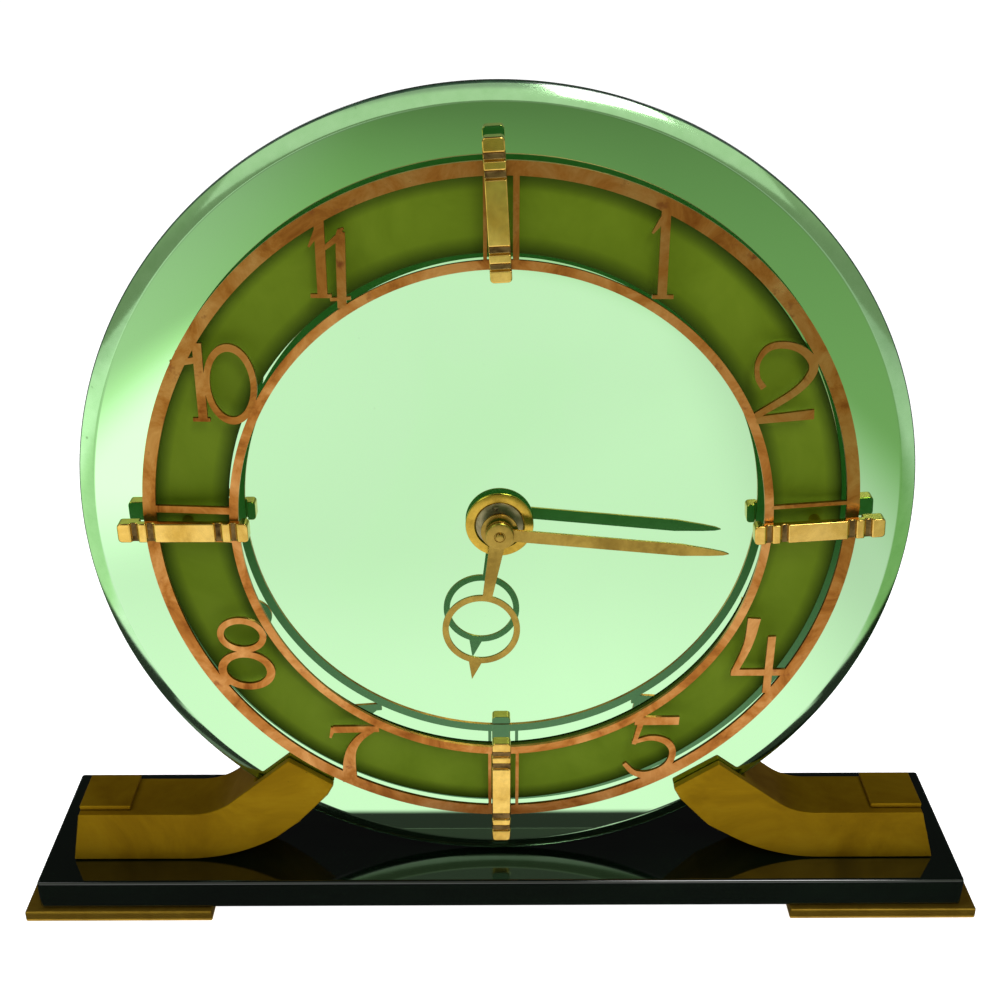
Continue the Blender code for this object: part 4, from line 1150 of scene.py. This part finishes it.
# How brightness changes over the card: two places in metres, then the value at each of them.
POOL_EDGE = (0.84, 1.46, 1.0, 0.0)
POOL_BACKWARDS = (-0.26, -0.10, 1.06, 1.20)
POOL_RIGHTWARDS = (0.10, 0.16, 0.0, -0.25)
FLARE_LEFTWARDS = (-0.125, -0.175, 0.0, 0.45)
FLARE_FORWARDS = (-0.20, -0.32, 0.0, 1.0)
DIM_RIGHTWARDS = (-0.15, 0.15, 0.50, 0.20)
DIM_FAR_LEFT = (-0.35, -0.60, 0.0, 0.45)
DIM_FAR_RIGHT = (0.35, 0.60, 0.0, 0.28)
DIM_NEAR_LEFT = (-0.10, -0.28, 0.0, 0.09)
SHADE_OUTWARDS = (0.125, 0.145, 0.0, 1.0)
SHADE_BESIDE = (-0.080, -0.066, 0.0, 1.0)
SHADE_BENEATH = (-0.054, -0.051, 0.0, 1.0)
BEHIND = (0.04, 0.35, 0.0, 0.45)
PALE_OUTWARDS = (0.30, 0.55, 0.0, 0.75)
PALE_BEHIND = (-0.03, 0.03, 0.0, 1.0)
PALE_LEFTWARDS = (-0.12, -0.24, 0.0, 0.45)


def make_card():
    """A card on the floor that only polished faces see.

    It has a painted bright oval pool of light before the clock, dim surroundings that brighten towards the
    clock and to the sides, and a painted shadow round the stand. The dim part is tinted and the rest is
    white.
    """
    look = Look("card_look", BLACK, 1.0, 0.0, Specular_IOR_Level=0.0)
    x, y = look.along("X"), look.along("Y")
    outwards = look.math("ABSOLUTE", x)
    reach = []
    for place, middle, half in zip((x, y), POOL_CENTRE, POOL_HALF):
        share = look.math("DIVIDE", look.math("SUBTRACT", place, middle), half)
        reach.append(look.math("POWER", look.math("ABSOLUTE", share), 2.0))
    pool = look.soft(look.total(*reach), *POOL_EDGE)
    around = look.rest_of(pool)
    flare = look.product(look.soft(x, *FLARE_LEFTWARDS), look.soft(y, *FLARE_FORWARDS))
    bright = look.total(look.soft(y, *POOL_BACKWARDS), flare, look.soft(x, *POOL_RIGHTWARDS))
    nearer = look.math("MAXIMUM", look.math("ADD", y, DIM_START), 0.0)
    dim = look.math("ADD", look.product(look.between(x, *DIM_RIGHTWARDS), nearer), DIM_LEAST)
    dim = look.total(dim, look.total(look.soft(x, *DIM_FAR_LEFT), look.soft(x, *DIM_FAR_RIGHT)))
    level = look.total(look.product(pool, bright), look.product(around, dim))
    # Painted shadow of the stand: the card darkens beside it and in front of the slab.
    beside = look.product(look.soft(outwards, *SHADE_OUTWARDS), look.soft(y, *SHADE_BESIDE))
    shade = look.math("MAXIMUM", beside, look.soft(y, *SHADE_BENEATH))
    level = look.product(level, look.rest_of(look.math("MULTIPLY", shade, SHADE_DEPTH)))
    level = look.total(level, look.soft(y, *BEHIND), look.product(around, look.soft(x, *DIM_NEAR_LEFT)))
    pale = look.math("MAXIMUM", pool, look.soft(outwards, *PALE_OUTWARDS))
    pale = look.math("MAXIMUM", pale, look.soft(y, *PALE_BEHIND))
    pale = look.math("MAXIMUM", pale, look.soft(x, *PALE_LEFTWARDS))
    look.glow(look.mix(pale, CARD_TINT, WHITE), level)
    shape = bmesh.new()
    corners = [(-1, -1), (1, -1), (1, 1), (-1, 1)]
    shape.faces.new([shape.verts.new((across * CARD_HALF, back * CARD_HALF, MM)) for across, back in corners])
    only_glossy(stage_object("studio_card", shape, look))


WALL_RADIUS = 6.5
WALL_TOP = 6.0
WALL_TURNS = [math.radians(5.0 * step) for step in range(-20, 21)]
WALL_TINT = (0.44, 0.50, 0.36)
WALL_RISE = (1.0, 2.6, 0.62, 0.85)
WALL_FADE = (4.2, 5.2, 1.0, 0.15)


def make_wall():
    """A dim curved wall before the clock that only polished faces see."""
    look = Look("wall_look", BLACK, 1.0, 0.0, Specular_IOR_Level=0.0)
    z = look.along("Z")
    look.glow(WALL_TINT, look.product(look.soft(z, *WALL_RISE), look.soft(z, *WALL_FADE)))
    shape = bmesh.new()
    low = [shape.verts.new((WALL_RADIUS * math.sin(turn), -WALL_RADIUS * math.cos(turn), 0.0))
           for turn in WALL_TURNS]
    high = [shape.verts.new((vertex.co.x, vertex.co.y, WALL_TOP)) for vertex in low]
    for index in range(len(low) - 1):
        shape.faces.new([low[index], low[index + 1], high[index + 1], high[index]])
    only_glossy(stage_object("studio_wall", shape, look))


BACKDROP_RADIUS = 7.8


def make_backdrop():
    """A pale wall right round the studio, seen only where the camera looks past the floor."""
    look = Look("backdrop_look", BLACK, 1.0, 0.0, Specular_IOR_Level=0.0)
    look.glow(WHITE)
    shape = bmesh.new()
    bmesh.ops.create_cone(shape, cap_ends=False, segments=64, radius1=BACKDROP_RADIUS,
                          radius2=BACKDROP_RADIUS, depth=2 * BACKDROP_RADIUS)
    backdrop = stage_object("backdrop", shape, look)
    backdrop.visible_diffuse = False
    backdrop.visible_glossy = False
    backdrop.visible_shadow = False


# Each light's name, place, aim, width and height, power in watts, and whether reflections see it.
LIGHTS = (
    ("key_light", (0.30, -0.9, 1.0), (0.0, 0.0, 0.12), (0.30, 0.45), 4.5, True),
    ("front_light", (0.0, -1.3, 1.0), (0.0, 0.0, 0.12), (2.4, 0.9), 2.4, True),
    ("fill_light", (-0.9, -0.5, 1.2), (0.0, 0.0, 0.10), (0.7, 0.7), 4.0, True),
    ("top_light", (0.0, -0.02, 1.5), (0.0, -0.02, 0.0), (1.2, 0.4), 6.0, False),
)
AMBIENT = 0.03


def make_light(name, place, aim, size, power, reflected):
    lamp = bpy.data.lights.new(name, "AREA")
    lamp.shape = "RECTANGLE"
    lamp.size, lamp.size_y = size
    lamp.energy = power
    obj = bpy.data.objects.new(name, lamp)
    obj.location = place
    obj.rotation_mode = "QUATERNION"
    obj.rotation_quaternion = (Vector(aim) - Vector(place)).to_track_quat("-Z", "Y")
    obj.visible_glossy = reflected
    bpy.context.scene.collection.objects.link(obj)


def make_studio():
    make_floor()
    make_backdrop()
    make_card()
    make_wall()
    for light in LIGHTS:
        make_light(*light)
    world = bpy.data.worlds.new("studio")
    world.use_nodes = True
    world.node_tree.nodes["Background"].inputs["Color"].default_value = (AMBIENT, AMBIENT, AMBIENT, 1.0)
    bpy.context.scene.world = world
    settings = bpy.context.scene.view_settings
    settings.view_transform = "Standard"
    settings.look = "None"


# ---------------------------------------------------------------- camera

CAMERA_ACROSS = -2.84
CAMERA_BEFORE_FACE = 348.2
CAMERA_ABOVE_SLAB = 274.3
CAMERA_PITCH = 0.4936
CAMERA_YAW = 0.0070
CAMERA_ROLL = 0.0009
SENSOR = 36.0
FOCAL_SHARE = 1.4524
CAMERA_SHIFT = 0.0986


def make_camera():
    camera = bpy.data.cameras.new("camera")
    camera.sensor_width = SENSOR
    camera.lens = FOCAL_SHARE * SENSOR
    camera.shift_y = CAMERA_SHIFT
    camera.clip_start = 0.01
    camera.clip_end = 50.0
    obj = bpy.data.objects.new("camera", camera)
    ahead = Vector((
        math.sin(CAMERA_YAW) * math.cos(CAMERA_PITCH),
        math.cos(CAMERA_YAW) * math.cos(CAMERA_PITCH),
        -math.sin(CAMERA_PITCH),
    ))
    right = Vector((math.cos(CAMERA_YAW), -math.sin(CAMERA_YAW), 0.0))
    up = right.cross(ahead)
    across = math.cos(CAMERA_ROLL) * right + math.sin(CAMERA_ROLL) * up
    over = math.cos(CAMERA_ROLL) * up - math.sin(CAMERA_ROLL) * right
    basis = Matrix((across, over, -ahead)).transposed().to_4x4()
    height = (SLAB_TOP + CAMERA_ABOVE_SLAB) * MM
    place = Vector((CAMERA_ACROSS * MM, FACE_Y - CAMERA_BEFORE_FACE * MM, height))
    obj.matrix_world = Matrix.Translation(place) @ basis
    bpy.context.scene.collection.objects.link(obj)
    bpy.context.scene.camera = obj


# ---------------------------------------------------------------- all together

def main():
    make_camera()
    make_stand(bracket_brass(), foot_brass(), black_slab())
    make_mirror(mirror_green(), ground_glass(), glass_edge())
    make_band(olive_paint())
    dull = dull_back_painted_glow()
    make_chapter_ring(copper(), dull)
    brass, brown = clamp_brass(), groove_brown()
    for hour in CLAMP_TURNS:
        make_clamp(hour, brass, brown, dull)
    make_hub(collar_brass(), bush_brass(), dull)
    make_hands(hand_brass(), dull)
    steel_look, movement, key = steel(), movement_brass(), key_brass()
    make_back(hardboard(), movement, key, steel_look)
    finish_kept_nodes(steel_look, movement, key, blued_steel())
    make_studio()


main()
